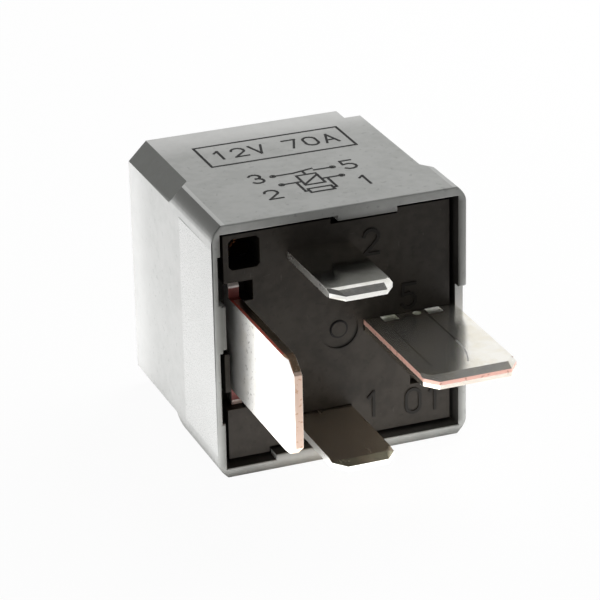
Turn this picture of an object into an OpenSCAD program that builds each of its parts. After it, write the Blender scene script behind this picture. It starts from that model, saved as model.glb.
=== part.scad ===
// Four-blade automotive relay with one normally open contact, lying on one side.
// X runs across the terminal face, Z runs up it, and Y runs from the rim of the
// cover into the relay, so the blades point towards -Y. The origin is under the
// middle of the whole relay, on the surface that it lies on.

/* [Cover] */
// Width of the cover across X
cover_width = 26.2; // [25.9:0.1:28]
// Height of the cover along Z
cover_height = 26.2; // [25.9:0.1:28]
// Depth of the cover from rim to closed end
cover_depth = 24.3; // [23.7:0.1:28]
// Thickness of the side walls
cover_wall = 0.95; // [0.8:0.05:1.1]
// Thickness of the closed end
end_wall = 1.2; // [0.8:0.1:1.6]
// Long corner chamfers towards the closed end
back_chamfer = 2; // [1.5:0.1:2.3]
// Long corner chamfers towards the rim
front_chamfer = 1.05; // [0.5:0.05:1.2]
// Distance from the rim to the deep chamfers on the -X side
deep_start_left = 12.1; // [9:0.1:16]
// Distance from the rim to the deep chamfers on the +X side
deep_start_right = 7; // [6:0.1:16]
// Length over which a chamfer grows from shallow to deep
chamfer_run = 1.2; // [0.6:0.1:2]
// Depth of the grip pads from the rim
pad_length = 9.3; // [6:0.1:14]
// Distance of the grip pads from the corners
pad_margin = 2.4; // [2:0.1:4]
// Height of the grip pads above the side walls
pad_raise = 0.1; // [0.05:0.01:0.15]
// Rounding of the outer edge of the rim
rim_round = 0.22; // [0.1:0.01:0.3]
// Width of the keying step on the closed end
key_width = 1.7; // [1:0.1:2]
// Depth of the keying step from the closed end
key_depth = 2.2; // [1:0.1:2.4]
// Length of the locating ribs on the upper and lower wall
rib_length = 6.1; // [4:0.1:8]
// Height of the locating ribs above the wall
rib_height = 0.55; // [0.3:0.05:0.7]
// Depth of the locating ribs from the rim
rib_depth = 1.6; // [1:0.1:1.9]
// Centre of the rib on the upper wall along X
upper_rib_x = 2.75; // [1:0.05:5]
// Centre of the rib on the lower wall along X
lower_rib_x = -4.05; // [-6:0.05:-3]
// Length of the rib on the -X wall
side_rib_length = 4.5; // [3:0.1:6]
// Height of the rib on the -X wall
side_rib_height = 0.35; // [0.2:0.05:0.5]
// Centre of the rib on the -X wall along Z
side_rib_z = 2.65; // [1:0.05:4]
// Length of the cut in the rim beside the load blade
rim_cut_length = 10.4; // [6:0.1:14]
// Depth of the cut in the rim
rim_cut_depth = 0.95; // [0.5:0.05:1.2]
// Centre of the cut in the rim along Z
rim_cut_z = -2.55; // [-4:0.05:0]

// Depth of the two reliefs inside the -X wall
relief_depth = 0.3; // [0.1:0.05:0.35]
// Reach of the reliefs from the rim
relief_reach = 3; // [1:0.1:3.4]
// Length of the upper relief along Z
upper_relief_length = 4.8; // [3:0.1:5]
// Centre of the upper relief along Z
upper_relief_z = 7.5; // [7:0.1:8]
// Length of the lower relief along Z
lower_relief_length = 7.3; // [4:0.1:8]
// Centre of the lower relief along Z
lower_relief_z = -3.65; // [-5:0.05:-3.5]

/* [Base] */
// Distance of the base face behind the rim
base_recess = 0.95; // [0.7:0.05:1.2]
// Thickness of the base
base_thickness = 3.25; // [2.8:0.05:4]
// Depth of the stepped edge of the base face
base_step = 1.3; // [0.8:0.1:1.8]
// Gap between the base face and the rim
base_gap = 0.42; // [0.3:0.02:0.6]
// Side of the square vent hole
vent_side = 3.2; // [2.4:0.1:3.6]
// Corner chamfer of the vent hole
vent_chamfer = 0.35; // [0.1:0.05:0.8]
// Distance of the middle of the vent hole from the -X wall
vent_inset_x = 2.55; // [2.2:0.05:2.7]
// Distance of the middle of the vent hole from the upper wall
vent_inset_z = 2.45; // [2.2:0.05:2.7]
// Side of the small square recess
pit_side = 0.95; // [0.6:0.05:1.4]
// Depth of the small square recess
pit_depth = 1; // [0.4:0.1:1.6]
// Distance of the small square recess from the middle of the load blade along X
pit_offset = 0.6; // [0:0.05:1]
// Distance of the small square recess below the load blade
pit_drop = 6.85; // [6:0.05:8]
// Outer radius of the round mark in the middle of the base
mark_radius = 2; // [1.6:0.05:2.3]
// Radius of the button in the round mark
button_radius = 0.85; // [0.5:0.05:1.1]
// Sink of the round mark into the base face
mark_sink = 0.14; // [0.06:0.02:0.3]
// Height of the numerals on the base
numeral_height = 2.5; // [1.8:0.1:2.8]
// Line width of the numerals on the base
numeral_line = 0.3; // [0.2:0.02:0.4]
// Relief of the numerals above the base face
numeral_relief = 0.14; // [0.06:0.02:0.2]
// Distance of the numerals from the middle or edge of their blades
numeral_gap = 2.3; // [2:0.1:2.6]
// Width of the pocket beside the common blade
pocket_width = 3.35; // [3:0.05:3.8]
// Length of the upper end of the pocket past the common blade
pocket_end = 2.05; // [1.6:0.05:2.4]
// Length of the lower end of the pocket past the common blade
pocket_foot = 1.7; // [1.5:0.05:2.4]
// Depth of the pocket from the base face
pocket_depth = 2.5; // [1.8:0.1:2.7]
// Width of the post in the pocket
post_width = 0.5; // [0.3:0.05:0.6]
// Length of the post in the pocket
post_length = 4; // [3:0.1:5]
// Distance of the post from the -X wall
post_inset = 0.3; // [0.2:0.05:0.4]
// Distance of the post from the rib on the -X wall
post_gap = 1; // [0.8:0.1:1.4]

/* [Terminals] */
// Width of the two load blades
load_blade_width = 9.5; // [8:0.1:9.5]
// Thickness of the two load blades
load_blade_thick = 1.1; // [0.8:0.05:1.2]
// Length of the load blades in front of the rim
load_blade_length = 14.6; // [11:0.1:16]
// Width of the two coil blades
coil_blade_width = 6.3; // [4.8:0.1:6.3]
// Thickness of the two coil blades
coil_blade_thick = 0.8; // [0.6:0.05:0.8]
// Length of the coil blades in front of the rim
coil_blade_length = 11; // [8:0.1:13]
// Length of the cut corners at a blade tip
corner_length = 1.35; // [0.8:0.05:1.8]
// Width of the cut corners at a blade tip
corner_width = 1.1; // [0.6:0.05:1.4]
// Length of the lead-in bevel at a blade tip
tip_bevel_length = 1.35; // [0.8:0.05:1.6]
// Drop of the lead-in bevel on each face of a blade tip
tip_bevel_drop = 0.16; // [0.1:0.01:0.2]
// Distance of the middle of the common blade from the -X side of the cover
common_inset = 2.85; // [2.65:0.05:2.9]
// Distance of the edge of the load blade from the +X side of the cover
load_inset = 1; // [1:0.05:1.2]
// Centre of the coil blades along X
coil_blade_x = -2; // [-3:0.05:-1]
// Distance of the coil blades from the middle along Z
coil_blade_z = 8.67; // [8.5:0.01:8.8]
// Length of the press marks on the load blade along X
press_length = 1.5; // [1:0.1:1.8]
// Width of the press marks along the blade
press_width = 1.2; // [0.8:0.1:1.4]
// Depth of the press marks
press_depth = 0.18; // [0.1:0.02:0.25]
// Distance between the middles of the press marks
press_spacing = 4.65; // [4:0.05:5]
// Radius of the dimple between the press marks
dimple_radius = 0.42; // [0.3:0.02:0.5]
// Depth of a terminal shoulder below the base face
shoulder_depth = 1.1; // [0.8:0.05:1.4]
// Length of a terminal shoulder
shoulder_length = 1.4; // [1:0.05:1.6]
// Reach of a terminal shoulder past its blade
shoulder_reach = 1.15; // [0.6:0.05:1.3]
// Width of the common strip behind the base
common_strip_width = 7; // [5:0.1:8]
// Gap between the common strip and the contact spring on the yoke
common_strip_gap = 1; // [0.6:0.1:1.6]
// Width of the load strip behind the base
load_strip_width = 4; // [3.8:0.1:4.1]
// Distance of the middle of the load strip from the +X side of the cover
load_strip_inset = 3.5; // [3.4:0.05:3.6]
// Reach of the bent end of the load strip along Z
load_pad_reach = 3.9; // [3.7:0.1:4.5]
// Inner radius of the bend in the load strip
load_strip_bend = 0.2; // [0.1:0.05:0.2]
// Width of the coil posts behind the base
coil_post_width = 1.2; // [0.8:0.1:1.4]
// Height of the coil posts above the base
coil_post_height = 5.8; // [5.4:0.1:6.5]
// Distance of the coil posts from the blade centre along X
coil_post_offset = -2; // [-2.2:0.05:-1.6]

/* [Magnet] */
// Thickness of the yoke
yoke_thickness = 1.5; // [1.2:0.1:1.6]
// Width of the yoke along Z
yoke_width = 12; // [10:0.1:12.4]
// Inner radius of the bend in the yoke
yoke_bend = 0.3; // [0.3:0.05:0.6]
// Length of the foot of the yoke past the core centre
yoke_foot = 4.5; // [4:0.1:5.5]
// Step from the core down to its riveted end
core_step = 0.6; // [0.4:0.1:1.2]
// Reach of the pole face past the core
pole_reach = 1.2; // [0.8:0.1:1.4]
// Thickness of the pole face
pole_thickness = 0.9; // [0.7:0.05:1]
// Half height of the bobbin flanges along Z
flange_half = 7; // [6.9:0.05:7.1]
// Room left for the resistor lead between the bobbin and the load strip
lead_room = 1.5; // [1.2:0.1:1.8]
// Thickness of the bobbin flanges
flange_thickness = 0.9; // [0.7:0.05:1.1]
// Wall of the bobbin tube
bobbin_wall = 0.8; // [0.5:0.05:1]
// Distance of the winding under the edge of the flanges
winding_inset = 0.5; // [0.4:0.05:1]
// Thickness of the winding from its inside to its outside
winding_thickness = 2.6; // [2.2:0.1:3]
// Thickness of the tape around the winding
tape_thickness = 0.12; // [0.06:0.02:0.16]
// Distance of the tape from the foot of the winding
tape_margin_low = 2; // [1:0.1:3]
// Distance of the tape from the head of the winding
tape_margin_high = 0.75; // [0.4:0.05:1.5]
// Radius of the coil wire
coil_wire_radius = 0.15; // [0.1:0.01:0.16]
// Turns of coil wire around each coil post
post_turns = 4; // [3:1:5]
// Height of the turns above the base
turn_height = 2.9; // [2.6:0.1:3.2]
// Distance between the coil wire and the middle of the core along X
wire_offset = 1.5; // [1:0.1:2]

/* [Armature] */
// Thickness of the armature
armature_thickness = 1.4; // [1.2:0.05:1.5]
// Distance of the end of the armature from the edge of the bobbin
armature_inset = 0.75; // [0.6:0.05:1]
// Overhang of the armature behind the pivot edge
armature_tail = 0.4; // [0.2:0.05:0.4]
// Opening angle of the armature at rest
open_angle = 2.6; // [2:0.1:2.8]
// Width of the hooks that stop the armature
stop_width = 1.6; // [1:0.1:1.8]
// Thickness of the posts of the hooks
stop_post = 1.3; // [1:0.05:1.4]
// Thickness of the noses of the hooks
stop_nose = 0.8; // [0.6:0.05:1]
// Reach of the hooks over the armature
stop_reach = 0.6; // [0.4:0.05:0.8]

/* [Contacts] */
// Thickness of the contact spring
spring_thickness = 0.3; // [0.2:0.02:0.34]
// Distance of the edge of the contact spring from the edge of the armature
spring_inset = 1.3; // [1.1:0.1:1.6]
// Margin of the contact spring round the contact
spring_margin = 0.3; // [0.2:0.05:0.4]
// Radius of the fold of the contact spring
fold_radius = 1.3; // [1.1:0.05:1.35]
// Length of the contact spring on the yoke
spring_leg = 4.6; // [4:0.1:4.8]
// Drop of the contact spring from the middle of its fold to the yoke
spring_drop = 2.2; // [2:0.1:2.4]
// Radius of the contact buttons
contact_radius = 1.75; // [1.4:0.05:1.8]
// Thickness of the contact buttons
contact_thickness = 0.95; // [0.7:0.05:1]
// Radius of the contact rivet shanks
contact_shank_radius = 0.75; // [0.6:0.05:0.8]
// Reach of the closed end of a contact rivet past its shank
contact_tail_reach = 0.3; // [0.2:0.05:0.4]
// Distance of the contacts from the middle along Z
contact_z = 1.9; // [1.85:0.05:2.1]
// Distance of the armature rivets from the edge of the contact spring
armature_rivet_inset = 1.4; // [1.3:0.1:1.8]
// Distance of the yoke rivets from the edge of the contact spring
spring_rivet_inset = 1.8; // [1.3:0.1:2]
// Distance of the terminal rivets from the edge of the common strip
terminal_rivet_inset = 1.5; // [1.3:0.1:2]
// Distance of the terminal rivets from the end of the common strip
terminal_rivet_drop = 1.7; // [1.4:0.1:2]
// Radius of the rivet shanks
rivet_radius = 0.6; // [0.4:0.05:0.7]
// Radius of the rivet heads
rivet_head_radius = 1.1; // [0.9:0.05:1.2]
// Thickness of the rivet heads
rivet_head = 0.35; // [0.2:0.05:0.4]

/* [Resistor] */
// Radius of the resistor body
resistor_radius = 1.25; // [1:0.05:1.3]
// Length of the resistor body
resistor_length = 6; // [5:0.1:6.2]
// Radius of the resistor leads
resistor_wire_radius = 0.28; // [0.2:0.02:0.3]
// Height of the resistor above the base
resistor_height = 5; // [4.9:0.1:5.2]
// Length of the straight lead at the far end of the resistor
resistor_lead = 0.65; // [0.5:0.05:1]
// Length of the thick end caps of the resistor
resistor_cap = 1.2; // [0.8:0.1:1.6]
// Depth of the waist of the resistor under its caps
resistor_waist = 0.2; // [0.1:0.05:0.3]

/* [Printing] */
// Length of the printed contact symbol along X
symbol_length = 6.4; // [5:0.1:7]
// Distance of the printed contact symbol from the rim
symbol_start = 9.8; // [9:0.1:11]
// Height of the printed numerals
print_height = 2.2; // [1.6:0.1:2.4]
// Line width of the printing
print_line = 0.24; // [0.16:0.02:0.3]
// Thickness of the ink
ink_thickness = 0.03; // [0.02:0.01:0.05]
// Length of the printed frame along X
frame_length = 15.2; // [12:0.1:18]
// Width of the printed frame along Y
frame_width = 5.5; // [4:0.1:6]
// Distance of the printed frame from the rim
frame_start = 14.55; // [14:0.05:16]

/* [Fits] */
// Clearance between fixed parts
fit = 0.05; // [0.03:0.01:0.08]
// Gap left between pole and armature when pulled in
pole_gap = 0.05; // [0.03:0.01:0.08]
// Gap left between the contacts when pulled in
contact_gap = 0.05; // [0.03:0.01:0.08]
// Gap between the armature and the edge it rocks on
pivot_gap = 0.03; // [0.02:0.01:0.05]
// Gap between the armature and its stop hooks at rest
stop_gap = 0.06; // [0.05:0.01:0.1]
// Gap between the moving contact and the cover at rest
lid_gap = 0.6; // [0.4:0.05:0.8]

/* [Hidden] */
$fn = 64;
// Extra length of a cutting tool past the face it cuts
over = 1;

half_w = cover_width / 2;
half_h = cover_height / 2;
inner_w = half_w - cover_wall;
inner_h = half_h - cover_wall;
// Chamfer of the hollow that keeps the wall even under the deep chamfers
inner_chamfer = back_chamfer + cover_wall * (sqrt(2) - 2);
// Stretch of the relay along Y, and the shift that centres it
mid_y = (cover_depth - load_blade_length) / 2;

// Places of the blades, from the sides of the cover inwards
common_x = common_inset - half_w;
load_x = half_w - load_inset - load_blade_width / 2;
load_strip_x = half_w - load_strip_inset;

base_top = base_recess + base_thickness;
step_y = base_recess + base_step;
shoulder_y = base_recess + shoulder_depth;
pocket_floor = base_recess + pocket_depth;
common_face = common_x + load_blade_thick / 2;
vent_x = vent_inset_x - inner_w;
vent_z = inner_h - vent_inset_z;
pit_x = load_x + pit_offset;
pit_z = -pit_drop;

// Magnet, from the yoke on the common strip outwards
yoke_inner = common_face + yoke_thickness;
flange_left = yoke_inner + yoke_bend;
flange_right = load_strip_x - load_strip_width / 2 - lead_room;
core_x = (flange_left + flange_right) / 2;
winding_radius = min((flange_right - flange_left) / 2, flange_half) - winding_inset;
tube_radius = winding_radius - winding_thickness - fit;
core_radius = tube_radius - bobbin_wall - fit;
pole_radius = core_radius + pole_reach;
tail_radius = contact_shank_radius + contact_tail_reach;
// Height of the moving contact over the pivot when it is open
open_rise = (load_strip_x + tail_radius - common_face) * sin(open_angle)
    + (armature_thickness + spring_thickness + rivet_head) * cos(open_angle);
// Pivot of the armature, set by the room that it needs under the closed end
pivot = [common_face, cover_depth - end_wall - key_depth - lid_gap - open_rise];
yoke_seat = base_top + yoke_thickness;
yoke_top = pivot[1] - pivot_gap;
core_face = pivot[1] - pole_gap;
flange_low = yoke_seat + fit;
flange_high = core_face - pole_thickness - fit - flange_thickness;
winding_low = flange_low + flange_thickness + fit;
winding_high = flange_high - fit;

// Armature and contacts, in the pulled-in place; they turn open about the pivot
armature_top = pivot[1] + armature_thickness;
armature_left = common_face - armature_tail;
armature_right = flange_right - armature_inset;
armature_half = flange_half - stop_post - 4 * fit;
contact_x = load_strip_x;
moving_face = armature_top - contact_thickness;
fixed_face = moving_face - contact_gap;
pad_top = fixed_face - contact_thickness;
stop_y = armature_top + (armature_right - pivot[0]) * sin(open_angle) + stop_gap;

// Contact spring: flat end, fold round the tail of the armature, leg on the yoke
fold_closed = [armature_left - 2 * fit, armature_top + spring_thickness / 2 - fold_radius];
spring_half = armature_half - spring_inset;
fold_open = turned(fold_closed);
leg_x = common_face - spring_thickness / 2;
leg_top = fold_closed[1] - spring_drop;
leg_bottom = leg_top - spring_leg;
spring_end = contact_x + contact_radius;

// Rivets
common_strip_top = leg_bottom - common_strip_gap;
spring_rivet_y = leg_bottom + spring_leg / 2;
spring_rivet_z = spring_half - spring_rivet_inset;
armature_rivet_x = (yoke_inner + core_x - pole_radius) / 2;
armature_rivet_z = spring_half - armature_rivet_inset;
terminal_rivet_y = common_strip_top - terminal_rivet_drop;
terminal_rivet_z = common_strip_width / 2 - terminal_rivet_inset;

// Resistor, with its lead against the outer face of each coil post
resistor_y = base_top + resistor_height;
resistor_z = coil_blade_z + coil_blade_thick / 2 + resistor_wire_radius + fit;
cross_x = flange_right + lead_room / 2;
resistor_x = cross_x - resistor_lead - resistor_length / 2;
coil_post_x = coil_blade_x + coil_post_offset;
turn_radius = norm([coil_post_width, coil_blade_thick]) / 2 + coil_wire_radius + fit;
turn_pitch = 1.8 * coil_wire_radius;
turn_y = base_top + turn_height;

// Point P of the pulled-in armature after it has opened
function turned(p) = pivot + [
    (p[0] - pivot[0]) * cos(open_angle) - (p[1] - pivot[1]) * sin(open_angle),
    (p[0] - pivot[0]) * sin(open_angle) + (p[1] - pivot[1]) * cos(open_angle)
];

// Points of an arc about C from angle A to angle B in N steps
function arc(c, r, a, b, n) =
    [for (i = [0:n]) c + r * [cos(a + (b - a) * i / n), sin(a + (b - a) * i / n)]];

// Unit vector from P to Q, and the same turned a quarter to the left
function unit(p, q) = (q - p) / norm(q - p);
function left(v) = [-v[1], v[0]];

// Sideways offset of point I of a path, by D, with mitred corners
function mitre(path, i, d) =
    let (
        last = len(path) - 1,
        before = unit(path[max(i - 1, 0)], path[max(i, 1)]),
        after = unit(path[min(i, last - 1)], path[min(i + 1, last)]),
        normal = unit([0, 0], left(before) + left(after))
    )
    path[i] + normal * d / (normal * left(before));

// Outline of a strip of thickness T along a path
function strip(path, t) = concat(
    [for (i = [0:len(path) - 1]) mitre(path, i, t / 2)],
    [for (i = [len(path) - 1:-1:0]) mitre(path, i, -t / 2)]
);

// Pen strokes of a numeral or letter, in a cell one unit wide and 1.7 units high
function glyph(c) =
    c == "0" ? [concat(arc([0.5, 1.2], 0.5, 0, 180, 8), arc([0.5, 0.5], 0.5, 180, 360, 8), [[1, 1.2]])] :
    c == "1" ? [[[0.2, 1.35], [0.55, 1.7], [0.55, 0]]] :
    c == "2" ? [concat(arc([0.5, 1.2], 0.5, 170, -35, 8), [[0, 0], [1, 0]])] :
    c == "3" ? [
        concat(arc([0.48, 1.27], 0.43, 150, -90, 8)),
        concat(arc([0.48, 0.46], 0.46, 90, -150, 8))
    ] :
    c == "5" ? [concat([[0.95, 1.7], [0.1, 1.7], [0.06, 0.95]], arc([0.46, 0.52], 0.52, 115, -145, 8))] :
    c == "7" ? [[[0, 1.7], [1, 1.7], [0.35, 0]]] :
    c == "A" ? [[[0, 0], [0.5, 1.7], [1, 0]], [[0.2, 0.55], [0.8, 0.55]]] :
    c == "V" ? [[[0, 1.7], [0.5, 0], [1, 1.7]]] :
    [];

// Everything is drawn about the middle of the terminal face and moved into place
module place() {
    translate([0, -mid_y, half_h])
        children();
}

// Box between two corners
module box(low, high) {
    translate(low)
        cube(high - low);
}

// Box centred on X and Z, from Y0 to Y1
module slab(w, h, y0, y1) {
    box([-w / 2, y0, -h / 2], [w / 2, y1, h / 2]);
}

// Cylinder along Y from Y0 to Y1
module post(x, z, r, y0, y1) {
    translate([x, y0, z])
        rotate([-90, 0, 0])
            cylinder(h = y1 - y0, r = r);
}

// Flat profile in X and Y, given thickness along Z about the middle
module upright(half) {
    translate([0, 0, -half])
        linear_extrude(height = 2 * half)
            children();
}

// Flat profile drawn in X and Z and raised along -Y from the plane at Y
module facing(y, t) {
    translate([0, y, 0])
        rotate([90, 0, 0])
            linear_extrude(height = t)
                children();
}

// One pen stroke with square ends
module stroke(a, b, w) {
    d = unit(a, b) * w / 2;
    n = left(d);
    polygon([a - d + n, a - d - n, b + d - n, b + d + n]);
}

// Pen strokes along a path
module pen(path, w) {
    for (i = [0:len(path) - 2])
        stroke(path[i], path[i + 1], w);
}

// Line of numerals or letters centred on a point
module label(words, centre, height, line) {
    cell = height / 1.7;
    pitch = 1.55 * cell;
    start = centre - [((len(words) - 1) * pitch + cell) / 2, height / 2];
    for (i = [0:len(words) - 1])
        for (path = glyph(words[i]))
            pen([for (p = path) start + [i * pitch, 0] + p * cell], line);
}

// Cutter for one long corner of the cover: shallow at the rim, deep behind START
module corner_cutter(start) {
    shallow = front_chamfer / sqrt(2);
    deep = back_chamfer / sqrt(2);
    rotate([0, 45, 0])
        translate([0, 0, -back_chamfer])
            linear_extrude(height = 2 * back_chamfer)
                polygon([
                    [-shallow, -over], [-shallow, start - chamfer_run], [-deep, start],
                    [-deep, cover_depth + over], [over, cover_depth + over], [over, -over]
                ]);
}

// Solid outer form of the cover
module cover_form() {
    difference() {
        union() {
            slab(cover_width - 2 * pad_raise, cover_height, 0, cover_depth);
            slab(cover_width, cover_height - 2 * pad_margin, rim_round, pad_length);
        }
        for (side = [-1, 1])
            for (up = [-1, 1])
                translate([side * half_w, 0, up * half_h])
                    mirror([side < 0 ? 1 : 0, 0, 0])
                        mirror([0, 0, up > 0 ? 1 : 0])
                            corner_cutter(side < 0 ? deep_start_left : deep_start_right);
        // keying step along one edge of the closed end
        box([half_w - back_chamfer - key_width, cover_depth - key_depth, -half_h - over],
            [half_w + over, cover_depth + over, half_h + over]);
        // broken outer edges of the rim
        for (turn = [0, 90, 180, 270])
            rotate([0, turn, 0])
                translate([half_w, 0, 0])
                    upright(half_w + over)
                        polygon([[-rim_round, -over], [over, -over], [over, rim_round],
                            [0, rim_round], [-rim_round, 0]]);
    }
}

// Hollow of the cover: square where the base sits, chamfered behind it
module cover_hollow() {
    slab(2 * inner_w, 2 * inner_h, -over, base_top + fit);
    difference() {
        slab(2 * inner_w, 2 * inner_h, 0, cover_depth - end_wall);
        for (side = [-1, 1])
            for (up = [-1, 1])
                translate([side * inner_w, cover_depth / 2, up * inner_h])
                    rotate([0, 45, 0])
                        cube([sqrt(2) * inner_chamfer, cover_depth, sqrt(2) * inner_chamfer], center = true);
        box([half_w - back_chamfer - key_width - cover_wall, cover_depth - key_depth - end_wall, -half_h],
            [half_w, cover_depth, half_h]);
    }
}

module cover() {
    color([0.45, 0.46, 0.45])
        place() {
            difference() {
                cover_form();
                cover_hollow();
                box([inner_w - fit, -over, rim_cut_z - rim_cut_length / 2],
                    [half_w + over, rim_cut_depth, rim_cut_z + rim_cut_length / 2]);
                wall_relief(upper_relief_z, upper_relief_length);
                wall_relief(lower_relief_z, lower_relief_length);
            }
            locating_ribs(0);
        }
}

// Shallow pocket inside the -X wall, open at the rim
module wall_relief(z, length) {
    box([-inner_w - relief_depth, -over, z - length / 2], [0, relief_reach, z + length / 2]);
}

// Ribs inside the rim, grown by G where they are used to cut the base
module locating_ribs(g) {
    box([upper_rib_x - rib_length / 2 - g, 0, inner_h - rib_height - g],
        [upper_rib_x + rib_length / 2 + g, rib_depth + g, inner_h + (g > 0 ? over : fit)]);
    box([lower_rib_x - rib_length / 2 - g, 0, -inner_h - (g > 0 ? over : fit)],
        [lower_rib_x + rib_length / 2 + g, rib_depth + g, -inner_h + rib_height + g]);
    box([-inner_w - (g > 0 ? over : fit), 0, side_rib_z - side_rib_length / 2 - g],
        [-inner_w + side_rib_height + g, rib_depth + g, side_rib_z + side_rib_length / 2 + g]);
}

module base() {
    color([0.2, 0.19, 0.18])
        place() {
            difference() {
                union() {
                    slab(2 * (inner_w - base_gap), 2 * (inner_h - base_gap), base_recess, base_top);
                    slab(2 * (inner_w - fit), 2 * (inner_h - fit), step_y, base_top);
                    facing(base_recess + fit, numeral_relief + fit)
                        base_numerals();
                }
                locating_ribs(base_gap);
                base_mark();
                vent_hole();
                box([pit_x - pit_side / 2, 0, pit_z - pit_side / 2],
                    [pit_x + pit_side / 2, base_recess + pit_depth, pit_z + pit_side / 2]);
                common_slot();
                load_slot();
                coil_slot(1);
                coil_slot(-1);
            }
            pocket_post();
        }
}

module base_numerals() {
    beside = coil_blade_x + coil_blade_width / 2 + numeral_gap;
    label("2", [beside, coil_blade_z], numeral_height, numeral_line);
    label("1", [beside, -coil_blade_z], numeral_height, numeral_line);
    label("5", [load_x, numeral_gap], numeral_height, numeral_line);
    label("3", [common_x + numeral_gap, 0], numeral_height, numeral_line);
    label("01", [pit_x + pit_side, pit_z - numeral_gap], numeral_height, numeral_line);
}

// Sunken ring around a button in the middle of the base face
module base_mark() {
    difference() {
        post(0, 0, mark_radius, 0, base_recess + mark_sink);
        post(0, 0, button_radius, -over, base_top);
    }
}

module vent_hole() {
    s = vent_side / 2;
    c = s - vent_chamfer;
    facing(base_top + over, base_top + 2 * over)
        translate([vent_x, vent_z])
            polygon([[-s, -c], [-c, -s], [c, -s], [s, -c], [s, c], [c, s], [-c, s], [-s, c]]);
}

// Slot of the common terminal with the open pocket on its outer side
module common_slot() {
    t = load_blade_thick / 2 + fit;
    tall = load_blade_width / 2 + shoulder_reach + fit;
    blade = load_blade_width / 2 + fit;
    box([common_x - t, 0, -blade], [common_x + t, base_top + over, blade]);
    box([common_x - t, shoulder_y - fit, -tall], [common_x + t, base_top + over, tall]);
    box([-half_w, 0, -blade - pocket_foot], [common_x - t + fit, pocket_floor, blade + pocket_end]);
    box([-half_w, 0, blade - fit], [pocket_width - inner_w, pocket_floor, blade + pocket_end]);
    box([-half_w, 0, -blade - pocket_foot], [common_x + t, pocket_floor, -blade + fit]);
}

// Post that stands in the pocket beside the common blade
module pocket_post() {
    x = post_inset - inner_w;
    z = side_rib_z - side_rib_length / 2 - post_gap;
    box([x, base_recess + 2 * fit, z - post_length], [x + post_width, pocket_floor + fit, z]);
}

module load_slot() {
    t = load_blade_thick / 2 + fit;
    low = load_x - load_blade_width / 2 - fit;
    box([low, 0, -t], [half_w, shoulder_y + fit, t]);
    box([low - shoulder_reach, shoulder_y - fit, -t], [half_w, base_top + over, t]);
}

module coil_slot(up) {
    t = coil_blade_thick / 2 + fit;
    w = coil_blade_width / 2 + fit;
    translate([coil_blade_x, 0, up * coil_blade_z]) {
        box([-w, 0, -t], [w, shoulder_y + fit, t]);
        box([-w - shoulder_reach, shoulder_y - fit, -t], [w + shoulder_reach, base_top + over, t]);
    }
}

// Blade outline: tip corners cut, lying flat in X and Y, pointing to -Y
module blade_outline(w, length) {
    polygon([
        [-w / 2, shoulder_y + fit], [-w / 2, -length + corner_length],
        [-w / 2 + corner_width, -length], [w / 2 - corner_width, -length],
        [w / 2, -length + corner_length], [w / 2, shoulder_y + fit]
    ]);
}

// Wedge that bevels one edge of one face: the edge runs along X, the face is up
module bevel_wedge(half, run) {
    rotate([90, 0, 90])
        translate([0, 0, -half])
            linear_extrude(height = 2 * half)
                polygon([[-over, over], [run, over], [run, 0], [0, -tip_bevel_drop],
                    [-over, -tip_bevel_drop * (1 + over / run)]]);
}

// Flat blade with a bevelled tip, about the middle of the terminal face
module blade(w, thick, length) {
    slant = atan2(corner_length, corner_width);
    reach = norm([corner_length, corner_width]) / 2;
    middle = [w / 2 - corner_width / 2, -length + corner_length / 2, thick / 2];
    difference() {
        upright(thick / 2)
            blade_outline(w, length);
        for (side = [0, 180])
            rotate([0, side, 0]) {
                translate([0, -length, thick / 2])
                    bevel_wedge(w, tip_bevel_length);
                for (hand = [-1, 1])
                    translate([hand * middle[0], middle[1], middle[2]])
                        rotate([0, 0, hand * slant])
                            bevel_wedge(reach + corner_width / 2, tip_bevel_length / 2);
            }
    }
}

// Coil terminal: blade, shoulders in the base, and a post for the coil wire
module coil_terminal(up) {
    post_x = coil_post_offset;
    top = base_top + coil_post_height;
    place()
        translate([coil_blade_x, 0, up * coil_blade_z]) {
            blade(coil_blade_width, coil_blade_thick, coil_blade_length);
            upright(coil_blade_thick / 2)
                polygon([
                    [-coil_blade_width / 2 - shoulder_reach, shoulder_y],
                    [coil_blade_width / 2 + shoulder_reach, shoulder_y],
                    [coil_blade_width / 2 + shoulder_reach, shoulder_y + shoulder_length],
                    [post_x + coil_post_width / 2, shoulder_y + shoulder_length],
                    [post_x + coil_post_width / 2, top],
                    [post_x - coil_post_width / 2, top],
                    [post_x - coil_post_width / 2, shoulder_y + shoulder_length],
                    [-coil_blade_width / 2 - shoulder_reach, shoulder_y + shoulder_length]
                ]);
        }
}

module terminal_1() {
    color([0.78, 0.77, 0.74])
        coil_terminal(-1);
}

module terminal_2() {
    color([0.78, 0.77, 0.74])
        coil_terminal(1);
}

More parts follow.
